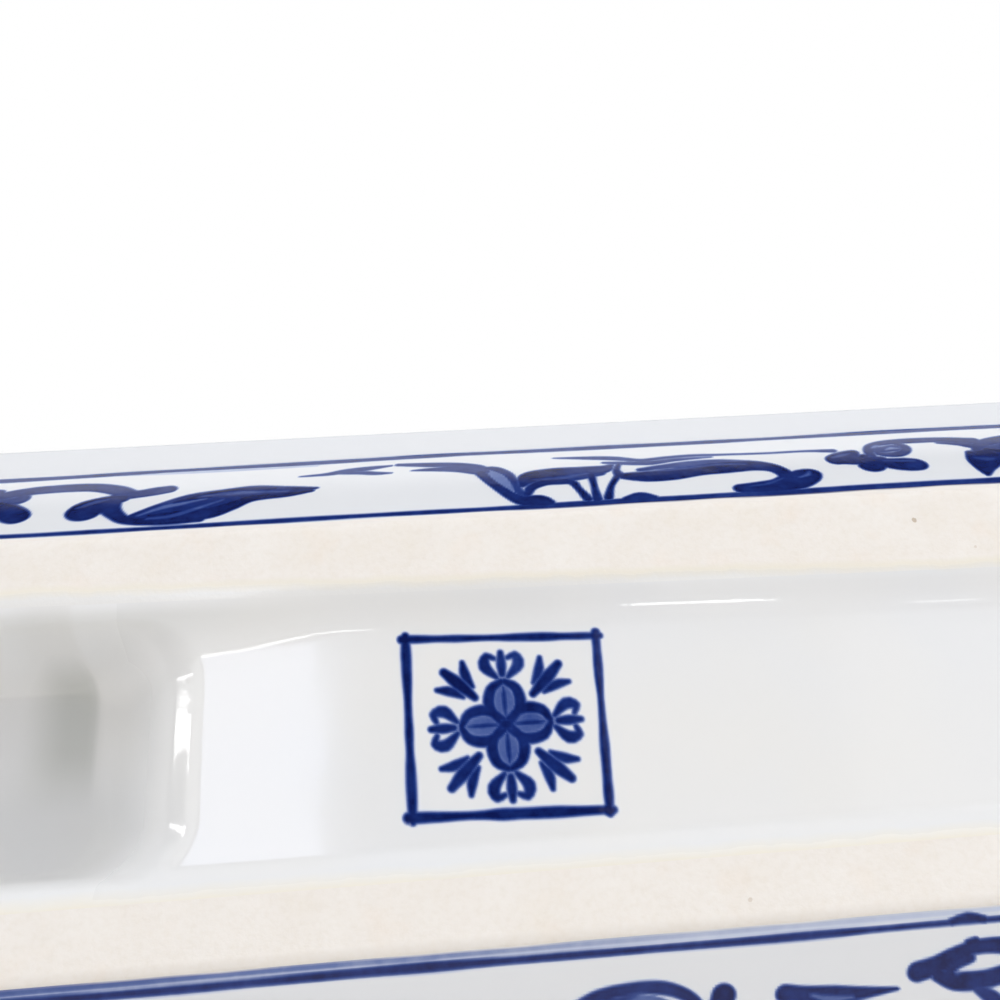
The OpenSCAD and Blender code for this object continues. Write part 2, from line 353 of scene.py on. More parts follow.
HOOKED_LEAF = (
    (0.85, [(-59.4, 7.6, .5), (-58.3, 9, .8), (-55.5, 10, .85), (-52, 10.3, .85),
            (-49, 10.1, .85), (-46.7, 9.2, .95), (-45.3, 8.2, .9)]),
    (0.85, [(-46.2, 7.9, .9), (-44.4, 8.1, .8), (-42.8, 8.5, .85), (-41.5, 8.8, .75)]),
    (0.97, [(-58.2, 7.5, .7), (-57, 6.5, 1.2), (-55.8, 5.2, 1.45), (-55.3, 4.7, 1.3)]),
    (0.97, [(-45.9, 7.3, .8), (-47.3, 6.7, 1.2), (-48.6, 5.6, 1.7), (-49, 4.9, 1.7)]),
    (0.95, [(-46.6, 6.9, .9), (-46.6, 5.4, 1), (-45.8, 4, .8), (-44.4, 2.8, .7), (-41, 2.3, .7),
            (-37.6, 2.3, .5)]),
    (0.86, [(-44, 3.3, .7), (-41.3, 4.3, 1.6), (-38.5, 5.2, 2.3), (-35.6, 6, 2.1),
            (-33, 7, 1.5), (-30, 7.1, .95), (-26.8, 7.3, .2)]),
    (0.98, [(-42.5, 3.3, .5), (-39.5, 3.3, 1), (-37, 3.4, 1.1), (-35, 4.5, .9),
            (-33, 5.9, .7), (-29.5, 6.3, .5), (-27.3, 6.8, .3)]),
    (0.98, [(-40.5, 5.8, .4), (-37.5, 7, .7), (-34, 7.8, .5), (-31, 7.7, .4)]))
HOOKED_LEAF_VEINS = (
    (0.42, [(-43.6, 3.6, .15), (-41.6, 4.9, .35), (-39.6, 5.6, .3), (-37.6, 6.3, .12)]),
    (0.34, [(-42.6, 2.9, .15), (-40.6, 3.1, .3), (-38.6, 4.1, .3), (-35.8, 5.9, .12)]),
    (0.34, [(-38, 6.9, .1), (-35, 7.2, .35), (-32.4, 7.1, .2), (-29.6, 7, .1)]),
    (0.30, [(-49.8, 5.8, .15), (-48.4, 6.8, .3), (-47.2, 7.3, .1)]))
WISPS = (
    (0.75, [(-28.6, 10.1, .1), (-26, 10.3, .3), (-24, 10.8, .5), (-21.7, 11.2, .45),
            (-19.3, 11.6, .15)]),
    (0.75, [(-25, 10.4, .2), (-22.6, 10.3, .4), (-20.8, 9.9, .35), (-19.3, 9.8, .1)]),
    (0.78, [(-18.6, 11.7, .3), (-15.5, 11.3, .5), (-12.5, 10.8, .6), (-10.2, 9.9, .6),
            (-9.6, 8.9, .4)]),
    (0.80, [(-17.2, 10.1, .1), (-15, 10.1, .4), (-12.5, 9.9, .7), (-10.6, 9, .6)]),
    (0.16, [(-47, 12.7, .1), (-38, 12.6, .3), (-27, 12.6, .15)]))
PALMETTE = (
    (0.93, [(-10.2, 8.6, .6), (-9.5, 6.8, .55), (-8.5, 4.9, .6), (-7.5, 3.3, .7), (-6.4, 2.3, .9),
            (-5, 2.2, 1), (-4.1, 1.7, .6)]),
    (0.36, [(-9.2, 8.8, .6), (-8.3, 6.6, .9), (-7.5, 4.6, .6)]),
    (0.80, [(-10, 9.8, .2), (-8.7, 9.4, .5), (-7.5, 8, .5), (-7, 6, .42), (-6.7, 4, .5),
            (-6, 2.8, .5)]),
    (0.90, [(-6.3, 5.4, .4), (-5.4, 7, 1.1), (-3, 7.6, 1.2), (0, 7.7, 1.1), (2.3, 8, .8),
            (3.3, 8.8, .25)]),
    (0.78, [(-5.4, 6.2, .6), (-3, 6.3, .8), (-.6, 6.8, .9), (1.8, 7.2, .6)]),
    (0.92, [(-6, 3.6, .45), (-5.4, 4.9, .55), (-4, 5.8, .65), (-2.5, 5.9, .7), (-1.3, 5.5, .5),
            (-.8, 4, .36), (-.2, 2, .5)]),
    (0.93, [(.9, 7.2, .45), (.8, 4.5, .3), (.7, 1.8, .5)]),
    (0.93, [(3.5, 6.3, .35), (2.5, 4.3, .3), (1.8, 2, .45)]),
    (0.88, [(4.1, 9, .25), (3.6, 7.6, .35), (3.9, 6.4, .6), (5.2, 5.9, .8)]),
    (0.95, [(4.6, 6.2, .7), (6.3, 5.9, 1.1), (9, 6.1, 1.25), (12, 6.7, 1.2), (15, 7, 1.3),
            (17.6, 7, 1.1), (19.4, 6.3, .9), (20.3, 5, .85), (20.5, 3.7, 1)]),
    (0.72, [(6, 7.4, .35), (8.5, 7.8, .5), (11.5, 8.1, .7), (14.5, 8.1, .7), (17.5, 7.7, .5)]),
    (0.95, [(15.2, 2.3, .85), (17, 2.4, 1), (19, 2.6, 1.2), (20.8, 3.2, 1.6), (22.2, 4, 1.5),
            (22.8, 4.4, 1.15)]),
    (0.88, [(3.6, 1.5, .5), (5, 1.9, .75), (6.2, 1.5, .5)]),
    (0.70, [(-2.4, 11.3, .1), (1, 10.9, .35), (4, 10.4, .45), (6.5, 9.6, .35), (9, 9.9, .3),
            (12, 10.1, .28), (16, 9.9, .2), (20, 9.7, .2), (24, 9.7, .22), (27, 9.4, .4)]),
    (0.70, [(2.6, 9.5, .2), (5, 9.1, .4), (7.5, 8.9, .45), (10, 9.3, .35), (14, 9.5, .1)]))
PALMETTE_VEINS = (
    (0.40, [(21.6, 3.9, .12), (22.6, 4.4, .28), (22.9, 5, .12)]),
    (0.30, [(7, 7, .12), (10, 7.2, .25), (14, 7.7, .2), (17, 7.4, .1)]),
    (0.26, [(-5, 6.5, .12), (-2.6, 6.6, .3), (.5, 7.2, .15)]),
    (0.26, [(16.2, 2.7, .1), (18, 3, .22), (19.8, 3.9, .1)]))
TREFOIL = (
    (0.92, [(28.9, 8.7, .6), (28.3, 8.2, 1), (27.3, 7.6, 1.25), (26.6, 7.3, 1.1)]),
    (0.92, [(27, 7.1, .9), (29, 6.9, 1.05), (31, 6.6, .9)]),
    (0.96, [(29.7, 7.6, .6), (29.7, 6.4, 1.1), (29.7, 5.6, 1.4)]),
    (0.96, [(30.6, 6.4, .7), (32, 5.7, 1.2), (33.4, 5.4, 1.4), (34.1, 5.3, 1.3)]),
    (0.85, [(30.5, 7.2, .5), (30.6, 8.6, .55), (31.3, 9.9, .6), (33, 10.7, .55), (36, 10.9, .6),
            (39.5, 10.7, .6), (42.6, 10, .75)]),
    (0.80, [(34.2, 10.4, .4), (34.8, 9.4, .5), (34.4, 8.4, .55), (33.4, 7.8, .6), (32.2, 7.8, .5),
            (31.4, 8.2, .4)]),
    (0.74, [(31.6, 9, .7), (33.6, 9.3, .8)]),
    (0.96, [(41, 7.1, .6), (40.7, 5.4, .9), (40.5, 3.4, .6), (40.4, 2.3, .2)]),
    (0.96, [(41.2, 6.6, .9), (43.4, 6.9, 1.1), (42.3, 5.4, 1.2), (41.1, 3.7, .7),
            (40.5, 2.4, .25)]),
    (0.78, [(38.6, 10, .2), (40.6, 9.6, .5), (42, 9.2, 1), (43.4, 8.8, 1.3), (45, 8.5, 1.2)]))
TREFOIL_VEINS = (
    (0.55, [(31.3, 9.6, .1), (31.9, 10, .25), (32.6, 10, .1)]),
    (0.60, [(32.6, 9, .12), (33.3, 9.3, .3), (34, 9.2, .12)]),
    (0.25, [(40.9, 6, .2), (41.8, 5.6, .4), (42.6, 5.6, .2)]),
    (0.35, [(42.2, 9.3, .1), (43.4, 8.9, .25), (44.6, 8.9, .1)]),
    (0.34, [(31.4, 6.5, .1), (32.8, 6.3, .2), (34.4, 6.1, .1)]),
    (0.30, [(26.4, 7.9, .15), (27.4, 8.2, .25), (28.4, 8.6, .1)]))
SCROLL_PERIOD = 101.2


def lay(sheet, strokes, dx=0.0, flip=1, lift=False):
    """Paints a motif, moved or mirrored, without the strokes that would leave the sheet."""
    def fits(points):
        reach = [dx + flip * point[0] for point in points]
        return min(reach) > sheet.across[0] and max(reach) < sheet.across[-1]
    kept = [stroke for stroke in strokes if fits(stroke[1])]
    sheet.strokes(kept, lambda line: line * [flip, 1, 1] + [dx, 0, 0], lift)


# Where a line's swell begins and ends along the wall, and over what run
SWELL_START, SWELL_RISE, SWELL_STOP, SWELL_FALL = -25.0, 50.0, 85.0, 25.0


def line_stroke(sheet, height, radius, tone, wobble, seed, swell=0.0):
    """A long border line along the whole sheet, with the brush's swelling and slips."""
    x = np.arange(sheet.across[0] - 2, sheet.across[-1] + 2, 2.5)
    if not isinstance(height, (int, float)):
        path = spline(height, 2)
        height = np.interp(x, path[:, 0], path[:, 1])
    rise, fall = (x - SWELL_START) / SWELL_RISE, (SWELL_STOP - x) / SWELL_FALL
    fuller = swell * smooth(rise) * smooth(fall)
    r = radius * (1 + waver(x, 0.12, 31, seed + 1) + fuller)
    sheet.stroke(np.c_[x, height + waver(x, wobble, 74, seed), r], tone)


UPPER_LINE = [(-97, 13.3), (-75, 13.05), (-58, 12.95), (-45, 13.25), (-30, 13.4), (-15, 13.6),
              (-5, 13.45), (5, 13.4), (12, 13.4), (22, 13.5), (38, 13.6), (60, 13.5), (80, 13.4),
              (97, 13.4)]


def paint_front(sheet):
    for turn in range(-2, 3):
        dx = turn * SCROLL_PERIOD
        for strokes in (HOOKED_LEAF, WISPS, PALMETTE, TREFOIL):
            lay(sheet, strokes, dx)
        for veins in (HOOKED_LEAF_VEINS, PALMETTE_VEINS, TREFOIL_VEINS):
            lay(sheet, veins, dx, lift=True)
    line_stroke(sheet, 1.1, 0.35, 0.84, 0.06, 1, swell=0.75)
    line_stroke(sheet, UPPER_LINE, 0.4, 0.8, 0.05, 2)


BACK_LEAVES = (
    (0.93, [(-6.4, 5.5, .4), (-4.5, 4.8, .55), (-2, 4.4, .5), (.5, 4.5, .55), (2.4, 5.2, .5),
            (3.5, 6.2, .45), (4, 7.6, .3)]),
    (0.80, [(-7.5, 6.5, .6), (-4.5, 6, .9), (-1.5, 6, 1.1), (1, 6.6, .9), (2.5, 8, .7),
            (4, 9.4, .3)]),
    (0.88, [(-15, 8.5, .2), (-12, 8.2, .8), (-9, 7.3, 1.1), (-6.5, 6.3, .9)]),
    (0.95, [(5.7, 5.6, .95), (5.3, 6.8, .9), (4.6, 8, .6), (4.4, 9.2, .4)]),
    (0.92, [(10.8, 6, .8), (12.5, 6.4, .9), (15, 6.5, .8), (17.3, 6.5, .5), (20.2, 6.4, .1)]),
    (0.85, [(9, 8.8, .3), (11, 7.6, .9), (14, 7.7, 1.2), (17, 8.3, 1), (19, 9.4, .5)]),
    (0.94, [(21.9, 5.1, .85), (23.5, 4.7, .8), (25, 4, .7), (27, 3.4, .6), (29.5, 3.5, .7),
            (32.5, 4, .9), (34.5, 5.2, .5)]),
    (0.94, [(23.6, 5.6, .5), (25.2, 6.2, .8), (27.5, 6.3, .8), (30, 5.9, .7), (32, 6.6, .3)]),
    (0.90, [(24.4, 5.6, .5), (25, 4.8, .5), (26.4, 4.3, .4)]),
    (0.85, [(27, 7, .4), (28.5, 8.4, .7), (27.5, 9.9, .7), (25, 10.4, .7), (20, 10.2, .45),
            (12, 10.8, .5), (4, 10.2, .4)]),
    (0.97, [(26.2, 3, .3), (26.8, 2.9, .35)]),
    (0.97, [(24.8, 1.1, .3), (26.2, .85, .42), (27.6, 1.1, .3)]))
BACK_VEINS = (
    (0.45, [(-3.5, 5.9, .15), (-1, 5.4, .35), (1, 5.8, .15)]),
    (0.50, [(13, 6.3, .15), (14.5, 6.8, .35), (16.4, 6.8, .15)]),
    (0.40, [(25.2, 5.6, .12), (26, 5.2, .25), (27, 5.2, .1)]))


def paint_back(sheet):
    lay(sheet, BACK_LEAVES)
    lay(sheet, BACK_LEAVES[:-1], -23, -1)
    lay(sheet, HOOKED_LEAF, 10, -1)
    lay(sheet, TREFOIL, 45)
    lay(sheet, TREFOIL, -37, -1)
    lay(sheet, BACK_VEINS, lift=True)
    lay(sheet, BACK_VEINS, -23, -1, lift=True)
    lay(sheet, HOOKED_LEAF_VEINS, 10, -1, lift=True)
    line_stroke(sheet, 1.15, 0.35, 0.86, 0.05, 3, swell=-0.3)
    line_stroke(sheet, UPPER_LINE, 0.38, 0.85, 0.2, 5)
    # The glaze edge at the foot carries a thin second line, stronger towards the left
    fade = np.interp(sheet.across, [-60, -30, 0, 30], [0.55, 0.33, 0.18, 0.1])
    rim = np.exp(-((sheet.up - 0.25) / 0.22) ** 2) + 0.45 * smooth((1.1 - sheet.up) / 0.4)
    np.maximum(sheet.ink, np.clip(rim, 0, 1)[:, None] * fade[None], out=sheet.ink)


def paint_end(sheet):
    for flip in (-1, 1):
        lay(sheet, PALMETTE, 4.0 * flip, flip)
    line_stroke(sheet, 1.1, 0.38, 0.85, 0.03, 6)
    line_stroke(sheet, 13.4, 0.38, 0.8, 0.04, 7)


FRONT, END = straight_path(), end_path()
wall_piece("painted_front_wall", "front_plinth_wall", FRONT, paint_front, 0.6)
wall_piece("painted_back_wall", "back_plinth_wall", FRONT, paint_back, 0.0, flip_y=-1)
wall_piece("painted_right_wall", "right_plinth_wall", END, paint_end, 0.4)
wall_piece("painted_left_wall", "left_plinth_wall", END, paint_end, 0.4, flip_x=-1)


# Base pan: a height field seen from below, with the painted ornament in its panel

OPEN_X = FOOT_L / 2 - RAIL_END
BACK_IN = FOOT_W / 2 - RAIL_BACK
FRONT_LEFT, FRONT_RIGHT = RAIL_LEFT - FOOT_W / 2, RAIL_RIGHT - FOOT_W / 2
WELL_FLOOR = DECK_Z - PAN_T
MOUTH_R, FLOOR_R, LIP_SOFT = 5.0, 3.5, 1.8
# The front slope is wider beside the left well: by how much, from where and over what run
WIDER, WIDER_FROM, WIDER_RUN = 3.0, 24.0, 14.0
# Shares of a slope that are rounded at its foot and at its top
TRAY_ROUND, WELL_ROUND = (0.36, 0.5), (0.42, 0.4)
VENT_X = (PANEL_L / 2 + WELL_SLOPE + OPEN_X - WELL_LIP - WELL_SIDE) / 2


def front_in(x):
    return FRONT_LEFT + (FRONT_RIGHT - FRONT_LEFT) * (x + OPEN_X) / (2 * OPEN_X)


def lap(x):
    """How far the glaze runs over the inner edge of the front rail."""
    return np.interp(x, [-60, -37, -19, 9, 28, 60], [2.1, 2.0, 1.7, 1.6, 1.2, 1.2])


def well_share(x, y):
    """0 at a well's mouth and beyond, 1 on its floor: outlines with round corners in between."""
    low, high = np.zeros_like(x), np.ones_like(x)

    def inside(u):
        left = PANEL_L / 2 - LIP_SOFT + (WELL_SLOPE + LIP_SOFT) * u
        right = OPEN_X - WELL_LIP - WELL_SIDE * u
        front = front_in(x) + WELL_LIP + WELL_SIDE * u
        back = BACK_IN - WELL_LIP - WELL_SIDE * u
        r = MOUTH_R + (FLOOR_R - MOUTH_R) * u
        dx = np.abs(np.abs(x) - (left + right) / 2) - (right - left) / 2 + r
        dy = np.abs(y - (front + back) / 2) - (back - front) / 2 + r
        outside = np.hypot(np.maximum(dx, 0), np.maximum(dy, 0))
        return outside + np.minimum(np.maximum(dx, dy), 0) < r

    for _ in range(16):
        middle = (low + high) / 2
        within = inside(middle)
        low, high = np.where(within, middle, low), np.where(within, high, middle)
    return low


def pan_height(x, y):
    """Underside of the pan above the foot: tray slopes, flat panel and two wells."""
    front, back, end = y - front_in(x), BACK_IN - y, OPEN_X - np.abs(x)
    wide = TRAY_FRONT + WIDER * smooth((-x - WIDER_FROM) / WIDER_RUN)
    front = (front + lap(x)) / (wide + lap(x))
    tray = TRAY_DEPTH * ramp(front, *TRAY_ROUND)
    tray = tray * smooth(back / TRAY_BACK) * smooth(end / TRAY_BACK)
    return tray + (WELL_FLOOR - TRAY_DEPTH) * ramp(well_share(x, y), *WELL_ROUND)


ORNAMENT_X, ORNAMENT_Y, ORNAMENT_W, ORNAMENT_H = -10.1, 0.95, 17.3, 16.2
# The painted part of the panel, in x and y, and the steps of its mesh and of its ink
PAINTED_X, PAINTED_Y, FINE_STEP, INK_STEP = (-22, 2), (-10, 12), 0.14, 0.12
# Thick glaze and painted shade in the wells, greyer with depth and more so at the foot of the inner
# slope: the foot's share beside the depth's own, where it ends past the foot of the inner slope and
# over what run, where it begins, and where it ends towards the back
HEAP_AND_SHADE, HEAP_SHADE_END, HEAP_SHADE_RUN, HEAP_SHADE_START, HEAP_SHADE_BACK, HEAP_SHADE_BACK_RUN = 0.7, 7.5, 5.0, 0.6, 4.5, 7.0
# Painted shade on the front slope beside the left well: from where, over what run, and at the rail
SLOPE_SHADE_X, SLOPE_SHADE_X_RUN, SLOPE_SHADE_Y, SLOPE_SHADE_Y_RUN, SLOPE_SHADE_SEAM = 22, 24, 7, 5, 1.5
# Duller glaze towards the pan's ends: from where and over what run
SATIN_X, SATIN_RUN = 41, 5


def pan_piece():
    left, right = PAINTED_X
    x = np.concatenate([np.linspace(-OPEN_X, left, 110, endpoint=False),
                        np.arange(left, right, FINE_STEP), np.linspace(right, OPEN_X, 140)])
    share = np.linspace(0, 1, 170)
    gx = np.broadcast_to(x, (len(share), len(x)))
    gy = front_in(gx) + share[:, None] * (BACK_IN - front_in(gx))
    low = np.stack([gx, gy, pan_height(gx, gy)], -1)
    cx, cs = np.linspace(-OPEN_X, OPEN_X, 90), np.linspace(0, 1, 18)
    hx = np.broadcast_to(cx, (len(cs), len(cx)))
    hy = front_in(hx) + cs[:, None] * (BACK_IN - front_in(hx))
    top = np.minimum(np.maximum(pan_height(hx, hy) + PAN_T, RAIL_H), DECK_Z)
    top[[0, -1]] = RAIL_H
    top[:, [0, -1]] = RAIL_H
    high = np.stack([hx, hy, top], -1)
    n, m = low.shape[:2], high.shape[:2]
    first = n[0] * n[1]
    a, b = grid_index(*n), grid_index(*m, first)
    edges = [(a[0], b[0]), (a[-1], b[-1]), (a[:, 0], b[:, 0]), (a[:, -1], b[:, -1])]
    sides = [np.concatenate([lower, upper[::-1]]) for lower, upper in edges]
    quads = np.vstack([grid_faces(*n), grid_faces(*m, start=first)])
    points = np.vstack([low.reshape(-1, 3), high.reshape(-1, 3)])
    piece = make("glazed_base_pan", points, quads, sides)
    sheet = Canvas(np.arange(*PAINTED_X, INK_STEP), np.arange(*PAINTED_Y, INK_STEP))
    paint_ornament(sheet)
    store(piece, "ink", sheet.settle().at(gx, gy))
    # The wells grey with depth and at the foot of the inner slope: thick glaze and painted shade
    deep = np.clip((low[..., 2] - TRAY_DEPTH) / (WELL_FLOOR - TRAY_DEPTH), 0, 1)
    foot = np.abs(gx) - PANEL_L / 2 - WELL_SLOPE
    heap = smooth((HEAP_SHADE_END - foot) / HEAP_SHADE_RUN) * smooth((foot + HEAP_SHADE_START) / (2 * HEAP_SHADE_START))
    heap = heap * smooth((HEAP_SHADE_BACK - gy) / HEAP_SHADE_BACK_RUN)
    store(piece, "glaze_pool_and_shade", (deep + HEAP_AND_SHADE * heap) / (1 + HEAP_AND_SHADE))
    # Painted shade on the front slope beside the left well, fading out towards the rail
    slope_shade = smooth((-gx - SLOPE_SHADE_X) / SLOPE_SHADE_X_RUN) * smooth((-SLOPE_SHADE_Y - gy) / SLOPE_SHADE_Y_RUN)
    store(piece, "slope_shade", slope_shade * smooth((gy - front_in(gx)) / SLOPE_SHADE_SEAM))
    store(piece, "satin", smooth((np.abs(gx) - SATIN_X) / SATIN_RUN))
    edge = np.minimum(np.minimum(gy - front_in(gx) + lap(gx), BACK_IN - gy), OPEN_X - np.abs(gx))
    store(piece, "edge", edge)
    drill_vents(piece, RAIL_H, DECK_Z + 1)
    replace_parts(piece, "base_pan")
    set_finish(piece, "white_glaze")
    return piece


def drill_vents(piece, low, high):
    """Cuts the two round vents along Z through a piece."""
    for x in (-VENT_X, VENT_X):
        bpy.ops.mesh.primitive_cylinder_add(vertices=48, radius=VENT_D / 2 * MM,
                                            depth=(high - low) * MM,
                                            location=(x * MM, 0, (low + high) / 2 * MM))
        cutter = bpy.context.object
        cut = piece.modifiers.new("vent", "BOOLEAN")
        cut.operation, cut.solver, cut.object = "DIFFERENCE", "EXACT", cutter
        drilled = piece.evaluated_get(bpy.context.evaluated_depsgraph_get())
        mesh = bpy.data.meshes.new_from_object(drilled)
        piece.modifiers.clear()
        piece.data = mesh
        bpy.data.objects.remove(cutter)


# A quarter of the flower, pointing along X from its middle: strokes that are painted on both
# sides of the quarter's axis, and strokes that are painted once
PETAL_SIDES = (
    (0.90, [(.2, .5, .3), (1.7, 1.35, .5), (3.2, 1.1, .45), (3.9, .15, .3)]),
    (0.85, [(4.3, .5, .2), (5.4, 1.5, .5), (6.3, 1.3, .35), (6.1, .6, .2)]))
PETAL_AND_SPRIG = (
    (0.50, [(.6, 0, .5), (2.1, 0, .95), (3.3, 0, .4)]),
    (0.80, [(.9, 0, .2), (2.4, 0, .26), (3.4, 0, .12)]),
    (0.88, [(4.6, 0, .3), (5.6, 0, .42), (6.6, 0, .25)]),
    (0.92, [(2.6, 2.6, .3), (3.9, 3.9, .55), (5.2, 5.1, .35)]),
    (0.85, [(3.6, 2.7, .15), (4.7, 3.3, .42), (5.9, 3.5, .2)]),
    (0.85, [(2.7, 3.6, .15), (3.3, 4.7, .42), (3.5, 5.9, .2)]))


def paint_ornament(sheet):
    """A brushed square frame with a four-petalled flower and leaf sprigs."""
    w, h = ORNAMENT_W / 2, ORNAMENT_H / 2
    cx, cy = ORNAMENT_X, ORNAMENT_Y
    corners = [(-w + .17, -h - .35), (w + .2, -h + .45), (w - .5, h - .1), (-w + .1, h - .65)]
    for (ax, ay), (bx, by), size in zip(corners, corners[1:] + corners[:1], (.3, .32, .4, .34)):
        t = np.linspace(-0.02, 1.02, 12)
        radius = size * (1 + waver(t, .18, .7, int(size * 100)))
        sheet.stroke(np.c_[cx + ax + (bx - ax) * t, cy + ay + (by - ay) * t, radius], 0.92)
    for (x, y), r in zip(corners, (.38, .42, .46, .42)):
        sheet.stroke([(cx + x - .15, cy + y, r), (cx + x + .1, cy + y + .1, r * .8)], 0.97)
    for k in range(4):
        a = math.radians(90 * k)
        turn = np.array([[math.cos(a), math.sin(a), 0], [-math.sin(a), math.cos(a), 0], [0, 0, 1]])
        for side in (-1, 1):
            sheet.strokes(PETAL_SIDES, lambda line: line * [1, side, 1] @ turn + [cx, cy, 0])
        sheet.strokes(PETAL_AND_SPRIG, lambda line: line @ turn + [cx, cy, 0])
    sheet.stroke([(cx - .1, cy, .5), (cx + .1, cy, .5)], 0.97)


PAN = pan_piece()


# Deck: slab with a rounded shoulder and a painted border round the mountain

BORDER_IN, BORDER_STEP = 8.6, 0.3


def ring():
    """Outline of the whole foot as base points, normals and distance along the rim."""
    side, normal, _ = FRONT
    base, turn, _ = END
    side, normal = side[1:-1:2], normal[1:-1:2]
    base = np.vstack([side, base, side[::-1] * [1, -1], base[::-1] * [-1, 1]])
    turn = np.vstack([normal, turn, normal[::-1] * [1, -1], turn[::-1] * [-1, 1]])
    middle = base + turn * (RIM_OUT - 5)
    return base, turn, distance(middle)


def deck_piece():
    base, normal, along = ring()
    n = len(base)
    turn = np.radians(np.linspace(0, 90, 22))
    shoulder = np.c_[RIM_OUT - SHOULDER_W * (1 - np.cos(turn)), DECK_Z + DECK_T * np.sin(turn)]
    flat = np.arange(BORDER_STEP, BORDER_IN + 0.01, BORDER_STEP)
    border = np.c_[shoulder[-1, 0] - flat, np.full(len(flat), DECK_TOP)]
    outline = np.vstack([shoulder, border])
    across = distance(outline)
    points = sweep(outline, base, normal)
    rows = len(outline)
    wrap = np.arange(rows) * n
    quads = np.vstack([grid_faces(rows, n), np.stack([wrap[:-1] + n - 1, wrap[1:] + n - 1,
                                                      wrap[1:], wrap[:-1]], 1)])
    piece = make("glazed_deck", points.reshape(-1, 3), quads,
                 [np.arange(n), np.arange(n) + (rows - 1) * n], sharp=40)
    sheet = Canvas(np.arange(0, along[-1] + 1, 0.25), np.arange(0, across[-1] + 0.3, 0.25))
    paint_deck(sheet, along[-1])
    store(piece, "ink", sheet.settle().at(*np.meshgrid(along, across)))
    drill_vents(piece, DECK_Z - 2, DECK_TOP + 2)
    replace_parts(piece, "plinth_deck")
    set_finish(piece, "white_glaze")


SCROLL_STEP, SCROLL_UP = 11, 9.3
DECK_SCROLL = (
    (0.90, [(-6, -1.6, .3), (-3, -1.5, .4), (0, .1, .45), (2.4, 1.7, .42), (5.2, 1.6, .3)]),
    (0.93, [(.4, 1.6, .3), (-1.2, 1.5, .5), (-2.4, .5, .6), (-1.7, -.3, .4)]),
    (0.80, [(1.8, -1.7, .2), (2.6, -.6, .6), (2.9, .1, .4)]))


def paint_deck(sheet, length):
    """Two lines, and between them a running scroll of small curled strokes."""
    count = round(length / SCROLL_STEP)
    step = length / count
    for k in range(count):
        dx, flip = (k + 0.5) * step, 1 if k % 2 else -1
        sheet.strokes(DECK_SCROLL, lambda line: line * [1, flip, 1] + [dx, SCROLL_UP, 0])
    line_stroke(sheet, 2.2, 0.34, 0.85, 0.1, 8)
    line_stroke(sheet, 6.3, 0.38, 0.92, 0.08, 9)
    line_stroke(sheet, 12.7, 0.3, 0.85, 0.08, 10)


deck_piece()


# Mountain: two pressed halves that meet in the middle plane

PEAKS = [(s * x, top - DECK_TOP, w) for x, top, w in zip(PEAK_X, PEAK_TOP, PEAK_W)
         for s in ((1,) if x == 0 else (-1, 1))]
CENTRE_H = PEAK_TOP[0] - DECK_TOP
SADDLES = [s * ((a + b) / 2 + SADDLE_SHIFT) for a, b in zip(PEAK_X, PEAK_X[1:])
           for s in (-1, 1)]
# How wide the ridge is levelled out for the low rows, how far they rise at most, and their spread
LEVEL_REACH, LEVEL_LIMIT, ROW_SPREAD = 26, 1.7, 1.2
FOOT_SWELL, FOOT_SWELL_H = 0.06, 0.8
# Ink left along the crest, as a share, and the way down to where it is full
CREST_INK, CREST_RUN = 0.12, 11


def ridge(x):
    return sum((h * 2.0 ** -(np.abs(x - c) / w) ** 3) ** 4 for c, h, w in PEAKS) ** 0.25


def mountain_half(x, h, v, t):
    """Depth behind the middle plane, as in the solids."""
    flute = sum(np.exp(-((x - s) / FLUTE_R) ** 2) for s in SADDLES)
    end = 1 - (np.abs(x) / (MOUNTAIN_L / 2 - t)) ** 8
    return ((MOUNTAIN_W / 2 - t) * np.sqrt(np.clip(end, 0, 1)) * (1 - TAPER * v * h / CENTRE_H)
            * (1 - FLUTE * flute * v) * np.sqrt(np.clip(1 - v ** 4, 0, 1)))


def mountain_sheet(cols, rows, t):
    s = np.linspace(-1, 1, cols)
    x = MOUNTAIN_L / 2 * s * (1.12 - 0.12 * s * s)
    slope = np.gradient(ridge(x), x)
    n = np.sqrt(1 + slope ** 2)
    x, h = x + t * slope / n, ridge(x) - t / n
    # Rows lie nearly level low down and bend to the ridge higher up
    reach = np.abs(x[:, None] - x[None]) < LEVEL_REACH
    level = np.minimum((reach * h[None]).sum(1) / reach.sum(1), LEVEL_LIMIT * h)
    q = (1 - (1 - np.linspace(0, 1, rows)) ** ROW_SPREAD)[:, None]
    v = q * ((1 - q) * level / h + q)
    x, h, v = np.broadcast_arrays(x[None], h[None], v)
    y = mountain_half(x, h, v, t)
    if t == 0:
        y = y * (1 + FOOT_SWELL * np.exp(-v * h / FOOT_SWELL_H))
    y = np.where((q >= 1) | (np.arange(cols) == 0) | (np.arange(cols) == cols - 1), 0, y)
    return np.stack([x, y, DECK_TOP + v * h], -1)


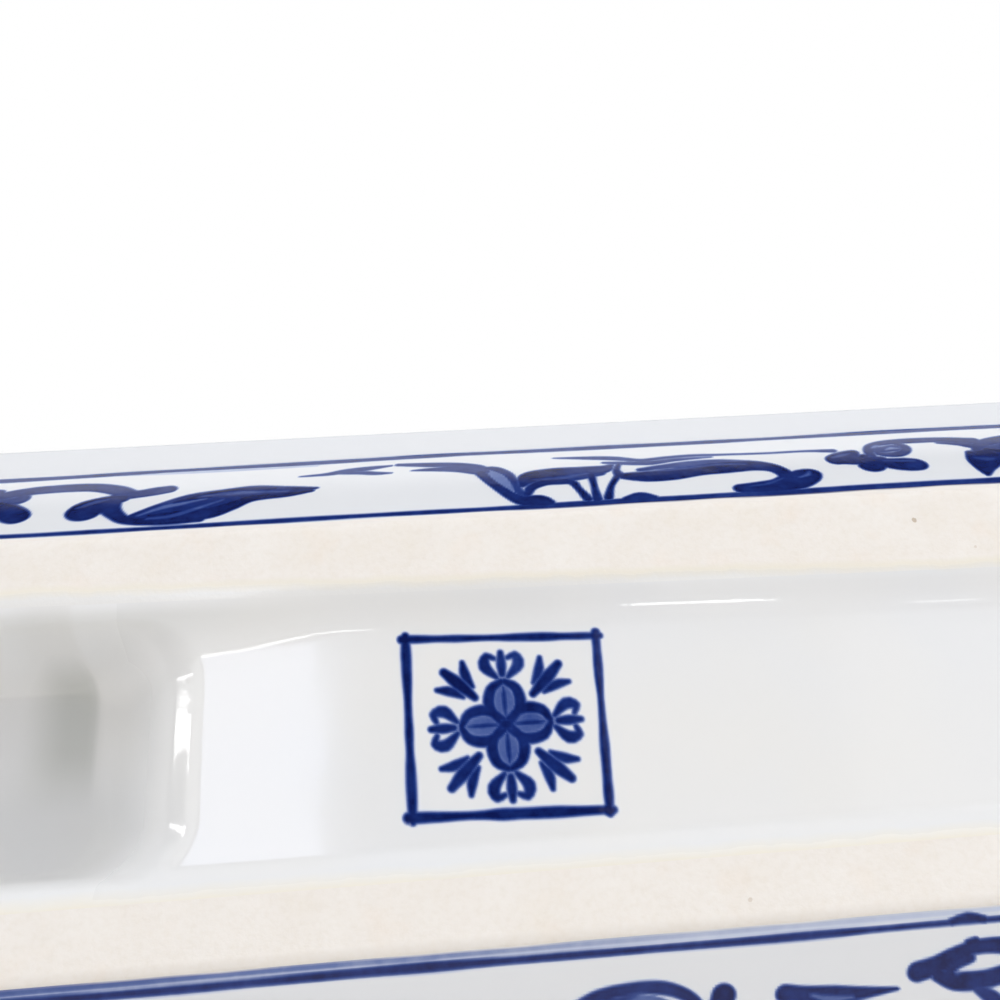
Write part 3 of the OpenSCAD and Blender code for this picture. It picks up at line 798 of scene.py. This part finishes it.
def mountain_piece(name, node, flip):
    cols, rows, inner_rows = 480, 198, 6
    outer, inner = mountain_sheet(cols, rows, 0), mountain_sheet(cols, inner_rows, MOUNTAIN_WALL)
    first = rows * cols
    a, b = grid_index(rows, cols), grid_index(inner_rows, cols, first)
    rim = [np.stack([p[:-1], p[1:], q[1:], q[:-1]], 1) for p, q in ((a[0], b[0]), (a[-1], b[-1]))]
    quads = np.vstack([grid_faces(rows, cols), grid_faces(inner_rows, cols, start=first)] + rim)
    ends = [np.concatenate([a[:, i], b[::-1, i]]) for i in (0, -1)]
    points = np.vstack([outer.reshape(-1, 3), inner.reshape(-1, 3)]) * [1, flip, 1]
    piece = make(name, points, quads, ends, sharp=60)
    sheet = Canvas(np.arange(-99, 99.1, 0.3), np.arange(DECK_TOP - 1, PEAK_TOP[0] + 1.5, 0.3))
    paint_mountain(sheet)
    ink = sheet.settle().at(outer[..., 0], outer[..., 2])
    # The brush is nearly dry along the crest, measured over the surface from the ridge
    span = np.linalg.norm(np.diff(outer, axis=0), axis=2)[::-1].cumsum(0)[::-1]
    span = np.vstack([span, np.zeros((1, cols))])
    store(piece, "ink", ink * (CREST_INK + (1 - CREST_INK) * smooth(span / CREST_RUN)))
    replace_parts(piece, node)
    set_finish(piece, "mountain_glaze")


# One half of a lotus head, its base at the origin, and a long curled leaf
PETALS = (
    (0.90, [(0, 1, .4), (1.6, 2.4, .5), (2, 4.6, .5), (1.2, 6.8, .5), (0, 8.4, .3)]),
    (0.90, [(.8, .9, .4), (3.2, 1.7, .5), (4.9, 3.8, .5), (5, 6.3, .5), (3.8, 8.2, .25)]),
    (0.90, [(1.2, .3, .4), (4.4, .4, .5), (7.2, 2, .55), (8.6, 4.6, .5), (8.4, 6.9, .2)]),
    (0.90, [(1.5, -.5, .4), (4.6, -1.2, .6), (7.8, -.8, .6), (10.4, .8, .5), (11.6, 2.8, .2)]),
    (0.90, [(3.6, 8.2, .3), (2.9, 6, .35), (2.4, 4.2, .3)]),
    (0.90, [(8.3, 6.8, .3), (6.7, 4.7, .35), (5.2, 3.4, .3)]),
    (0.90, [(11.5, 2.7, .3), (9.4, 1.6, .35), (7.6, 1.6, .3)]),
    (0.50, [(3.4, 3.2, .4), (4.1, 5, .6), (3.9, 6.6, .35)]),
    (0.50, [(5.6, 2, .4), (7.2, 3.6, .65), (7.9, 5.4, .35)]),
    (0.50, [(4.6, -.3, .4), (7.6, .4, .6), (9.8, 1.6, .35)]),
    (0.55, [(0, 2.6, .7), (.6, 4.4, .8), (.3, 6.4, .5)]))
CURLED_LEAF = (
    (0.86, [(0, 0, .4), (2.2, .9, 1.2), (5, 1.3, 1.7), (8, 1, 1.5), (10.6, -.1, .9),
            (12.8, -1.8, .2)]),
    (0.97, [(1, -.3, .3), (4, -.4, .6), (7.5, -.5, .6), (10.4, -1, .4), (12.4, -1.8, .15)]),
    (0.90, [(1.4, 1, .4), (1, 2.9, .6), (2.2, 4.2, .7), (3.8, 3.7, .45)]),
    (0.90, [(1.2, -.6, .4), (1, -2.3, .55), (2.4, -3.3, .6), (3.8, -2.6, .4)]))
LEAF_VEINS = ((0.5, [(2, .9, .15), (5.2, 1.5, .3), (8.2, 1.1, .25), (11, -.3, .1)]),)
MOUNTAIN_SOFT = 0.25


def turned(sheet, strokes, x, y, angle=0.0, size=1.0, flip=1, lift=False):
    """Paints a motif turned by an angle in degrees. A flip of -1 first swaps its up and down."""
    c, s = math.cos(math.radians(angle)), math.sin(math.radians(angle))

    def place(line):
        px, py = line[:, 0], line[:, 1] * flip
        return np.c_[x + size * (c * px - s * py), y + size * (s * px + c * py),
                     size ** 0.5 * line[:, 2]]
    sheet.strokes(strokes, place, lift, MOUNTAIN_SOFT)


def leaf(sheet, x, y, angle, size, flip=1):
    """A leaf that points along the angle and droops clockwise, or the other way if flip is -1."""
    turned(sheet, CURLED_LEAF, x, y, angle, size, flip)
    turned(sheet, LEAF_VEINS, x, y, angle, size, flip, lift=True)


def lotus(sheet, x, y, size):
    turned(sheet, PETALS, x, y, 0, size)
    turned(sheet, PETALS, x, y, 180, size, flip=-1)


VINES = (
    [(0, 30, .6), (9, 27.6, .6), (18, 28.6, .6), (24, 32.6, .6), (30, 33, .6), (36, 29, .6),
     (43, 27.2, .6), (50, 28.6, .6), (57, 32.3, .55), (63, 32.2, .5), (69, 28.6, .5), (76, 27, .5),
     (83, 28.4, .5), (88, 32, .4), (88.5, 36, .4), (86, 38, .4)],
    [(0, 29, .6), (.3, 42, .5), (0, 54, .5)],
    [(3, 29, .5), (9, 33, .5), (13, 40, .55), (13.5, 48, .5), (9.5, 52, .45), (6, 50, .4),
     (6.6, 46.6, .4)],
    [(0, 66, .5), (-.4, 76, .45), (0, 87, .4)],
    [(0, 68, .4), (5, 71, .45), (8, 76, .45), (6.6, 81, .4), (3.4, 80, .35)],
    [(36.5, 28.6, .5), (38.6, 34, .5), (39, 44, .45)],
    [(33, 31, .45), (29.6, 37, .45), (28.6, 44, .45), (31, 49, .4), (34, 47.6, .35),
     (33.4, 45, .35)],
    [(45, 28, .45), (49.5, 34, .45), (50.5, 42, .45), (48.6, 48, .4), (45, 48, .35)],
    [(39, 54, .45), (38.6, 62, .4), (39, 71, .4)],
    [(73, 27.6, .45), (75, 32, .45), (75.5, 38, .4)],
    [(66, 30.5, .4), (65, 36, .4), (67.4, 40.6, .4), (70, 39.5, .3)])
VINE_LEAVES = (
    (4, 29, 48, .55, 1), (16, 28.4, 62, .75, 1), (27, 33.2, 96, .8, -1), (12.6, 38, 128, .45, -1),
    (13.8, 43, 40, .55, 1), (.2, 69, 30, .6, 1), (43, 27.4, 52, .45, 1), (50.6, 37, 44, .55, 1),
    (28.4, 40, 136, .5, -1), (54, 31, 78, .8, 1), (60, 32.6, 40, .5, 1), (39.3, 56, 34, .5, 1),
    (38.7, 56, 146, .5, -1), (39.2, 62.5, 48, .36, 1), (38.8, 62.5, 132, .36, -1),
    (79, 27.4, 56, .5, 1), (65, 34, 128, .4, -1), (88.4, 32, 100, .45, -1), (76, 46, 44, .38, 1),
    (75, 46, 136, .38, -1))
VINE_FLOWERS = ((0, 55, 1.25), (0, 88, .72), (39, 45, .95), (39, 72, .55), (75.5, 39, .68),
                (75.5, 52, .4))


# Waves at the mountain's foot: heights of their rows, step and end along X, and (radius, tone)
WAVE_ROWS, WAVE_STEP, WAVES_END = (17.6, 19.9, 22.2), 6, 96
WAVE_ARCS = ((2.9, .9), (1.7, .75))
# Wash along the ridge: tone, depth and softness, and the outline's tone, depth and half width
WASH, WASH_DEPTH, WASH_SOFT = 0.34, 5.6, 5.0
OUTLINE, OUTLINE_DEPTH, OUTLINE_HALF, OUTLINE_SOFT = 0.93, 1.3, 0.55, 0.35


def paint_mountain(sheet):
    """A lotus vine that climbs the peaks, waves at the foot and a washed ridge line."""
    x, z = np.meshgrid(sheet.across, sheet.up)
    slope = np.gradient(ridge(sheet.across), sheet.across)[None]
    below = ((DECK_TOP + ridge(sheet.across))[None] - z) / np.sqrt(1 + slope ** 2)
    ragged = waver(x, 0.5, 17, 21) + waver(z, 0.4, 11, 22)
    wash = WASH * smooth((WASH_DEPTH + ragged - below) / WASH_SOFT)
    off_line = np.abs(below - OUTLINE_DEPTH + 0.3 * waver(x, 0.5, 23, 23))
    outline = OUTLINE * smooth((OUTLINE_HALF - off_line) / OUTLINE_SOFT)
    sheet.ink = np.maximum(wash, outline)
    for s in (-1, 1):
        # folds of the rock below the saddles
        for cx, top, size in ((SADDLES[1], 59, 1), (SADDLES[3], 40.5, 0.7)):
            for dx, length in ((-4.2, 9), (-1.3, 13), (1.6, 12), (4.6, 8)):
                fold = [(s * (cx + 0.3 * dx * size), top, .2),
                        (s * (cx + 0.55 * dx * size), top - 0.4 * length * size, .45),
                        (s * (cx + dx * size), top - length * size, .1)]
                sheet.stroke(fold, 0.72, soft=MOUNTAIN_SOFT)
        for points in VINES:
            sheet.stroke([(s * px, pz, r) for px, pz, r in points], 0.93, soft=MOUNTAIN_SOFT)
        for px, pz, angle, size, flip in VINE_LEAVES:
            leaf(sheet, s * px, pz, angle if s > 0 else 180 - angle, size, flip * s)
        for px, pz, size in VINE_FLOWERS:
            if s > 0 or px:
                lotus(sheet, s * px, pz, size)
    # waves: overlapping scales in rows above the deck
    for row, z0 in enumerate(WAVE_ROWS):
        for k in range(-17, 18):
            cx = (k + 0.5 * (row % 2)) * WAVE_STEP
            if abs(cx) > WAVES_END - 2 * row:
                continue
            for radius, tone in WAVE_ARCS:
                arc = [(cx + radius * math.cos(t), z0 + 0.78 * radius * math.sin(t), .3)
                       for t in np.linspace(0.05, math.pi - 0.05, 7)]
                sheet.stroke(arc, tone, soft=MOUNTAIN_SOFT)


mountain_piece("front_mountain_half", "front_mountain_shell", -1)
mountain_piece("back_mountain_half", "back_mountain_shell", 1)


# Foot: four rails with a softened outer edge

ROUND = 0.8
# The rounded edge ends at this angle, and there it meets the wall's foot
ROUND_TURN, ROUND_OVER, ROUND_RISE = 80, 0.165, 0.605
# How far in the rail's hidden top begins, where the wall's foot ends
RAIL_TOP_IN = 2.17
# The edge number of rails that no glaze laps onto
FAR_FROM_GLAZE = -5.0


def rail_piece(name, node, outer, normal, inner, lapped=False):
    """Rail between an outer outline with its normals and an inner edge, point for point."""
    turn = np.radians(np.linspace(0, ROUND_TURN, 9))
    rows = [np.c_[inner + (outer - normal * ROUND - inner) * k, np.zeros(len(outer))]
            for k in np.concatenate([np.linspace(0, 0.4, 15), [0.7, 1]])]
    if lapped:
        for row in rows:
            row[:, 2] = pan_height(row[:, 0], row[:, 1])
    rows += [np.c_[outer - normal * (ROUND - (ROUND + ROUND_OVER) * math.sin(a)),
                   np.full(len(outer), ROUND_RISE * (1 - math.cos(a)))] for a in turn[1:]]
    top = np.full(len(outer), RAIL_H)
    rows += [np.c_[outer - normal * RAIL_TOP_IN, top], np.c_[inner, top]]
    size = len(rows), len(outer)
    points = np.vstack(rows)
    piece = make(name, points, grid_faces(*size, closed=True), end_caps(*size), sharp=50)
    x, y = points[:, 0], points[:, 1]
    edge = y - front_in(x) + lap(x) if lapped else np.full(len(x), FAR_FROM_GLAZE)
    store(piece, "edge", edge)
    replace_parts(piece, node)
    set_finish(piece, "biscuit")


def rails():
    x = np.linspace(-OPEN_X, OPEN_X, 120)
    flat = np.tile([0.0, 1.0], (len(x), 1))
    half = FOOT_W / 2
    rail_piece("biscuit_front_rail", "front_foot_rail", np.c_[x, np.full_like(x, -half)], -flat,
               np.c_[x, front_in(x)], lapped=True)
    rail_piece("biscuit_back_rail", "back_foot_rail", np.c_[x, np.full_like(x, half)], flat,
               np.c_[x, np.full_like(x, BACK_IN)])
    base, normal, _ = END
    start, stop = [[OPEN_X, -half]], [[OPEN_X, half]]
    base = np.vstack([start, base, stop])
    normal = np.vstack([[[0, -1]], normal, [[0, 1]]])
    y = np.clip(base[:, 1], ROUND - half, half - ROUND)
    inner = np.c_[np.full_like(y, OPEN_X), y]
    rail_piece("biscuit_right_rail", "right_foot_rail", base, normal, inner)
    left = [line * [-1, 1] for line in (base, normal, inner)]
    rail_piece("biscuit_left_rail", "left_foot_rail", *left)


rails()


# Materials

def srgb(r, g, b):
    """Linear colour from 0-255 screen values."""
    return tuple(((c / 255 + 0.055) / 1.055) ** 2.4 if c > 10 else c / 255 / 12.92
                 for c in (r, g, b)) + (1.0,)


class Nodes:
    """Short way to build the nodes of a material or the world."""
    def __init__(self, owner):
        owner.use_nodes = True
        self.owner, self.tree = owner, owner.node_tree
        self.shader = self.tree.nodes.get("Principled BSDF")

    def add(self, kind, links=(), **settings):
        node = self.tree.nodes.new("ShaderNode" + kind)
        for key, value in settings.items():
            if hasattr(node, key):
                setattr(node, key, value)
            else:
                node.inputs[key.replace("_", " ")].default_value = value
        for key, source in dict(links).items():
            self.tree.links.new(source, node.inputs[key])
        return node

    def plug(self, slot, value):
        """Gives an input a number or colour, or links it to an output."""
        if hasattr(value, "is_linked"):
            self.tree.links.new(value, slot)
        else:
            slot.default_value = value

    def noise(self, scale, detail=3.0, rough=0.5):
        where = self.add("TexCoord").outputs["Object"]
        return self.add("TexNoise", {"Vector": where}, Scale=scale, Detail=detail,
                        Roughness=rough).outputs["Fac"]

    def math(self, operation, a, b):
        node = self.add("Math", operation=operation)
        for slot, value in zip(node.inputs, (a, b)):
            self.plug(slot, value)
        return node.outputs[0]

    def times(self, a, b):
        return self.math("MULTIPLY", a, b)

    def plus(self, a, b):
        return self.math("ADD", a, b)

    def number(self, name):
        """A number that is stored on the vertices."""
        return self.add("Attribute", attribute_name=name).outputs["Fac"]

    def mix(self, factor, a, b, blend="MIX"):
        node = self.add("Mix", data_type="RGBA", blend_type=blend)
        for slot, value in ((0, factor), (6, a), (7, b)):
            self.plug(node.inputs[slot], value)
        return node.outputs[2]

    def shade(self, a, b):
        return self.mix(1.0, a, b, "MULTIPLY")

    def ramp(self, factor, stops):
        node = self.add("ValToRGB", {"Fac": factor})
        band = node.color_ramp
        while len(band.elements) < len(stops):
            band.elements.new(0.5)
        for element, (place, colour) in zip(band.elements, stops):
            element.position, element.color = place, colour
        return node.outputs[0]

    def bump(self, height, distance):
        node = self.add("Bump", {"Height": height}, Distance=distance, Strength=1.0)
        self.tree.links.new(node.outputs[0], self.shader.inputs["Normal"])

    def set(self, name, value):
        self.plug(self.shader.inputs[name], value)


GLAZE_WHITE = srgb(240, 240, 240)
GLAZE_COOL = srgb(235, 238, 244)
# Greys of thick glaze with painted shade in the wells, and the painted shade on the slope beside
# the left well
POOLED_AND_SHADED, HEAPED_AND_SHADED, SLOPE_SHADE_COLOUR = srgb(246, 245, 243), srgb(215, 216, 212), srgb(240, 240, 238)
BISCUIT_PALE, BISCUIT_MID = srgb(247, 243, 239), srgb(245, 240, 235)
BISCUIT_WARM, BISCUIT_EDGE = srgb(243, 237, 229), srgb(243, 238, 227)
BLUSH, GRAIN, IRON = srgb(255, 252, 249), srgb(251, 250, 248), srgb(180, 155, 125)
COBALT = ((0.0, srgb(236, 239, 244)), (0.1, srgb(205, 214, 236)), (0.32, srgb(104, 124, 182)),
          (0.58, srgb(48, 72, 144)), (0.8, srgb(22, 46, 120)), (1.0, srgb(6, 22, 84)))
BLACK, WHITE = (0, 0, 0, 1), (1, 1, 1, 1)
# Roughness of clear glaze, and what is added where the body is bare, in wells and at the ends
GLOSS, BARE_FRONT, BARE_PAN, BARE_FOOT = 0.06, 0.5, 0.4, 0.54
WELL_DULL, WELL_DULL_AT, SATIN_DULL = 0.4, 0.45, 0.3
# Width over which the glaze thins out at a border, and how ragged the border is
THINNING, RAGGED = 1.4, 0.9
GLAZE_IOR, BISCUIT_IOR = 1.5, 1.4
# Iron specks on the foot: x, y, size and depth
SPECKS = ((30.7, -15.8, 0.24, 0.6), (35.9, -12.6, 0.16, 0.25), (-52, 16.5, 0.22, 0.4),
          (8.3, 17.2, 0.18, 0.3), (71, -14, 0.3, 0.5), (-78, -16.6, 0.25, 0.5))


def glaze(name, cool):
    """Clear glaze over a white body, with cobalt ink under it. cool is the share of blue cast."""
    n = Nodes(bpy.data.materials.new(name))
    cloud = n.ramp(n.noise(45, 2), ((0.35, BLACK), (0.7, WHITE)))
    warmer = n.mix(cool, GLAZE_WHITE, GLAZE_COOL)
    body = n.mix(cloud, warmer, n.mix(0.5 + cool / 2, GLAZE_WHITE, GLAZE_COOL))
    ink = n.number("ink")
    heap = n.plus(n.times(n.noise(1100, 3, 0.6), 0.34), 0.83)
    flow = n.plus(n.times(n.noise(330, 2), 0.5), 0.75)
    depth = n.times(n.times(ink, heap), flow)
    shown = n.math("MINIMUM", n.times(ink, 12.0), 1.0)
    bare = n.number("bare")
    n.set("Base Color", n.mix(bare, n.mix(shown, body, n.ramp(depth, COBALT)), BISCUIT_MID))
    n.set("Roughness", n.plus(n.times(bare, BARE_FRONT), GLOSS))
    n.set("IOR", GLAZE_IOR)
    swell = n.plus(n.noise(120, 2), n.times(n.noise(600, 2), 0.2))
    n.bump(n.plus(swell, n.times(ink, 0.15)), 0.00005)
    return n


def bare_share(n):
    """1 on bare body and 0 under glaze, with a ragged border that follows the edge numbers."""
    edge = n.number("edge")
    rag = n.plus(edge, n.times(n.math("SUBTRACT", n.noise(260, 4, 0.6), 0.5), RAGGED))
    stops = ((0.0, WHITE), (0.25, (0.7, 0.7, 0.7, 1)), (1.0, BLACK))
    return n.ramp(n.math("DIVIDE", rag, THINNING), stops)


def pan_glaze():
    """The same glaze, thin and ragged against the foot. It is duller in both wells and towards the
    ends.
    Thick glaze and painted shade grey it in the wells, and painted shade darkens the front slope
    beside the left well."""
    n = glaze("pan_glaze", 0.0)
    body = n.shader.inputs["Base Color"].links[0].from_socket
    # Thick glaze and painted shade grey the wells
    glaze_pool_and_shade = n.number("glaze_pool_and_shade")
    body = n.shade(body, n.ramp(glaze_pool_and_shade, ((0, WHITE), (1 / (1 + HEAP_AND_SHADE), POOLED_AND_SHADED), (1, HEAPED_AND_SHADED))))
    # Painted shade on the front slope beside the left well
    slope_shade = n.number("slope_shade")
    body = n.shade(body, n.ramp(slope_shade, ((0, WHITE), (1, SLOPE_SHADE_COLOUR))))
    bare = bare_share(n)
    n.set("Base Color", n.mix(bare, body, BISCUIT_EDGE))
    satin = n.times(n.number("satin"), SATIN_DULL)
    well = n.ramp(glaze_pool_and_shade, ((0.0, BLACK), (WELL_DULL_AT, (WELL_DULL, WELL_DULL, WELL_DULL, 1))))
    dull = n.math("MAXIMUM", well, satin)
    n.set("Roughness", n.plus(n.math("MAXIMUM", n.times(bare, BARE_PAN), dull), GLOSS))
    return n


def biscuit():
    """Bare fired body: faint warm clouds, fine pores and a few iron specks."""
    n = Nodes(bpy.data.materials.new("unglazed_biscuit"))
    clouds = ((0.3, BISCUIT_PALE), (0.52, BISCUIT_MID), (0.78, BISCUIT_WARM))
    warm = n.ramp(n.noise(150, 4, 0.6), clouds)
    blush = n.ramp(n.noise(200, 2), ((0.56, WHITE), (0.78, BLUSH)))
    fine = n.ramp(n.noise(1500, 5, 0.7), ((0.3, GRAIN), (0.55, WHITE)))
    colour = n.shade(n.shade(warm, blush), fine)
    where = n.add("TexCoord").outputs["Object"]
    for x, y, size, depth in SPECKS:
        gap = n.add("VectorMath", {0: where}, operation="DISTANCE")
        gap.inputs[1].default_value = (x * MM, y * MM, 0)
        ragged = n.plus(gap.outputs["Value"], n.times(n.noise(3000), 0.00025))
        spot = n.times(n.math("LESS_THAN", ragged, (size + 0.12) * MM), depth)
        colour = n.mix(spot, colour, IRON)
    bare = bare_share(n)
    rim = n.ramp(bare, ((0.0, GLAZE_WHITE), (0.55, BISCUIT_EDGE)))
    n.set("Base Color", n.mix(n.ramp(bare, ((0.5, BLACK), (1.0, WHITE))), rim, colour))
    n.set("Roughness", n.plus(n.times(bare, BARE_FOOT), GLOSS))
    n.set("IOR", BISCUIT_IOR)
    n.bump(n.plus(n.noise(2600, 4, 0.65), n.times(n.noise(500, 3), 0.6)), 0.00002)
    return n


# Share of blue cast in each glaze
CASTS = {"painted_glaze": 0.75, "mountain_glaze": 0.35, "white_glaze": 0.2}
FINISHES = {name: glaze(name, cool).owner for name, cool in CASTS.items()}
FINISHES["biscuit"] = biscuit().owner
for thing in bpy.data.objects:
    if thing.get("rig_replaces"):
        thing.data.materials.clear()
        thing.data.materials.append(FINISHES[thing["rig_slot"]])
PAN.data.materials.clear()
PAN.data.materials.append(pan_glaze().owner)


# Camera, fitted to the edges of the foot, the wall and the painted square in the photograph

CAMERA_AT = (-16.53, 27.627, -93.179)
LOOK_RIGHT = (0.99583, 0.0828, -0.0384)
LOOK_DOWN = (-0.05582, 0.88537, 0.46152)
FOCAL_PIXELS, FRAME_PIXELS, SENSOR = 1100.0, 1000.0, 36

camera = add_object("camera", bpy.data.cameras.new("camera"))
right, up = Vector(LOOK_RIGHT).normalized(), -Vector(LOOK_DOWN).normalized()
back = right.cross(up).normalized()
up = back.cross(right)
camera.matrix_world = (Matrix.Translation(Vector(CAMERA_AT) * MM)
                       @ Matrix((right, up, back)).transposed().to_4x4())
camera.data.sensor_width = SENSOR
camera.data.lens = SENSOR * FOCAL_PIXELS / FRAME_PIXELS
camera.data.clip_start, camera.data.clip_end = 0.005, 10
bpy.context.scene.camera = camera


# Floor: pale, seen only from above, so that the underside stays in view and lit from below

# Half its width, and where it fades into the white background, in metres
FLOOR_HALF, FADE_FROM, FADE_TO = 4, 0.15, 0.7
FLOOR_DARK, FLOOR_PALE, FLOOR_ROUGH = srgb(243, 243, 243), srgb(246, 246, 246), 0.6


def floor():
    mesh = bpy.data.meshes.new("floor")
    corners = [(FLOOR_HALF * x, FLOOR_HALF * y, 0) for x, y in ((-1, -1), (1, -1), (1, 1), (-1, 1))]
    mesh.from_pydata(corners, [], [(0, 1, 2, 3)])
    plane = add_object("floor", mesh)
    n = Nodes(bpy.data.materials.new("floor"))
    n.set("Base Color", n.ramp(n.noise(3), ((0.3, FLOOR_DARK), (0.7, FLOOR_PALE))))
    n.set("Roughness", FLOOR_ROUGH)
    where = n.add("TexCoord").outputs["Object"]
    far = n.add("VectorMath", {0: where}, operation="LENGTH").outputs["Value"]
    fade = n.add("MapRange", {"Value": far}, interpolation_type="SMOOTHSTEP",
                 From_Min=FADE_FROM, From_Max=FADE_TO)
    paper = n.add("Emission", Strength=1.0).outputs[0]
    top = n.add("MixShader", {0: fade.outputs[0], 1: n.shader.outputs[0], 2: paper}).outputs[0]
    clear = n.add("BsdfTransparent").outputs[0]
    mixed = n.add("MixShader", {0: n.add("NewGeometry").outputs["Backfacing"], 1: top, 2: clear})
    n.tree.links.new(mixed.outputs[0], n.tree.nodes["Material Output"].inputs["Surface"])
    mesh.materials.append(n.owner)
    plane.visible_diffuse = plane.visible_glossy = False
    plane.visible_transmission = plane.visible_shadow = False


floor()


# Light

def softbox(name, towards, distance, width, height, radiance):
    """Area lamp that looks at the object from a direction, with the given brightness."""
    light = bpy.data.lights.new(name, "AREA")
    light.shape, light.size, light.size_y = "RECTANGLE", width, height
    light.energy = radiance * math.pi * width * height
    lamp = add_object(name, light)
    away = Vector(towards).normalized()
    lamp.location = away * distance
    lamp.rotation_mode = "QUATERNION"
    lamp.rotation_quaternion = away.to_track_quat("Z", "Y")
    return lamp


# name, direction from the object, distance, width, height, radiance
LAMPS = (
    ("right_low", (0.95, 0.02, -0.35), 0.8, 0.5, 0.3, 4.5),
    ("left_low", (-0.95, -0.05, -0.4), 0.8, 0.5, 0.3, 1.4),
    ("front_left", (-0.6, -0.55, -0.6), 0.8, 0.4, 0.4, 1.2),
    ("front_right", (0.6, -0.55, -0.6), 0.8, 0.4, 0.4, 1.2),
    ("front_low", (0, -0.95, -0.35), 0.8, 0.6, 0.3, 3.2),
    ("front_mid", (0, -0.75, -0.66), 0.8, 0.5, 0.3, 0.5),
    ("back_low", (0, 0.8, -0.6), 0.8, 0.5, 0.3, 3.3),
    ("key_above", (-0.55, -0.6, 0.9), 0.9, 0.5, 0.4, 3.2),
    ("fill_above", (0.8, 0.3, 0.7), 1.0, 0.5, 0.5, 1.0))
for lamp in LAMPS:
    softbox(*lamp)
# These light the surfaces and are kept out of the reflections
for name in ("front_low", "back_low", "left_low", "right_low"):
    bpy.data.objects[name].visible_glossy = False

# Cards that only show as highlights in the glaze, placed for the main view. Each is level and
# looks up, and its edges are given as sideways run per unit of depth: left, right, front, back,
# then depth and radiance
CARDS = (
    ("card_panel", -0.305, -0.15, -0.46, -0.14, 0.6, 1.3),
    ("card_panel_middle", -0.313, -0.135, -0.46, -0.14, 0.61, 1.2),
    ("card_panel_edge", -0.32, -0.11, -0.46, -0.14, 0.62, 0.5),
    ("card_arc", -0.3, -0.1, -0.15, -0.11, 0.6, 8.0),
    ("card_slope", 0.1, 1.1, -0.08, 0.7, 0.63, 0.5),
    ("card_slope_right", 0.22, 1.1, -0.08, 0.7, 0.64, 0.5),
    ("card_well", -0.95, -0.352, -0.42, -0.12, 0.6, 0.65),
    ("card_well_edge", -0.95, -0.368, -0.4, -0.13, 0.61, 0.65),
    ("card_wide", 0.15, 1.1, -0.45, -0.14, 0.6, 0.5),
    ("card_far_right", 0.42, 1.1, -0.45, -0.14, 0.62, 0.5),
    ("card_streak", 0.18, 0.335, 0.22, 0.28, 0.6, 9.0),
    ("card_streak_right", 0.49, 0.56, 0.05, 0.09, 0.6, 5.0))
# Light colours of the cards over the panel, and of the lamp and the card at the back
COOL_TINT, WARM_TINT = (0.92, 1.0, 1.25), (1.0, 0.93, 0.84)


def level_card(name, left, right, front, back, depth, radiance):
    centre = ((left + right) / 2, (front + back) / 2, -1)
    lamp = softbox(name, centre, 1, (right - left) * depth, (back - front) * depth, radiance)
    lamp.location = Vector(centre) * depth
    lamp.rotation_quaternion = (0, 1, 0, 0)
    lamp.visible_diffuse = False
    if name.startswith("card_panel"):
        lamp.data.color = COOL_TINT


for card in CARDS:
    level_card(*card)
# Cards that look at the object, with the same numbers as the lamps
for card in (("card_strip", (-0.82, 0, -0.5), 0.7, 0.036, 0.5, 10.0),
             ("card_ledge", (0, -0.95, -0.35), 0.7, 2.2, 0.4, 0.6),
             ("card_near_wall", (0.2, 0.8, -0.45), 0.7, 2.2, 0.35, 0.6)):
    softbox(*card).visible_diffuse = False
# Moved without being turned, to where its highlight lies in the photograph
STRIP_Y = -0.2
bpy.data.objects["card_strip"].location.y = STRIP_Y
for name in ("card_near_wall", "back_low"):
    bpy.data.objects[name].data.color = WARM_TINT

# World strength below and above the floor: for light on surfaces, and as gloss shows it
AMBIENT_BELOW, AMBIENT_ABOVE = 0.465, 0.66
GLOSS_BELOW, GLOSS_ABOVE = 0.06, 1.0
# Heights, in the direction's Z, between which each of them changes over
AMBIENT_CHANGE, GLOSS_CHANGE = (-0.3, 0.3), (0.1, 0.18)

sky = Nodes(bpy.data.worlds.new("studio"))
bpy.context.scene.world = sky.owner
background = sky.tree.nodes["Background"]
background.inputs["Color"].default_value = WHITE
split = sky.add("SeparateXYZ", {0: sky.add("TexCoord").outputs["Generated"]})
path = sky.add("LightPath").outputs


def by_height(change, below, above):
    node = sky.add("MapRange", {"Value": split.outputs["Z"]}, From_Min=change[0],
                   From_Max=change[1], To_Min=below, To_Max=above)
    return node.outputs[0]


def choose(switch, no, yes):
    """Number no where the switch is 0, and yes where it is 1."""
    return sky.plus(sky.times(no, sky.math("SUBTRACT", 1.0, switch)), sky.times(yes, switch))


ambient = by_height(AMBIENT_CHANGE, AMBIENT_BELOW, AMBIENT_ABOVE)
mirrored = by_height(GLOSS_CHANGE, GLOSS_BELOW, GLOSS_ABOVE)
shiny = sky.math("MAXIMUM", path["Is Glossy Ray"], path["Is Transmission Ray"])
level = choose(path["Is Camera Ray"], choose(shiny, ambient, mirrored), 1.0)
sky.tree.links.new(level, background.inputs["Strength"])

bpy.context.scene.view_settings.view_transform = "Standard"
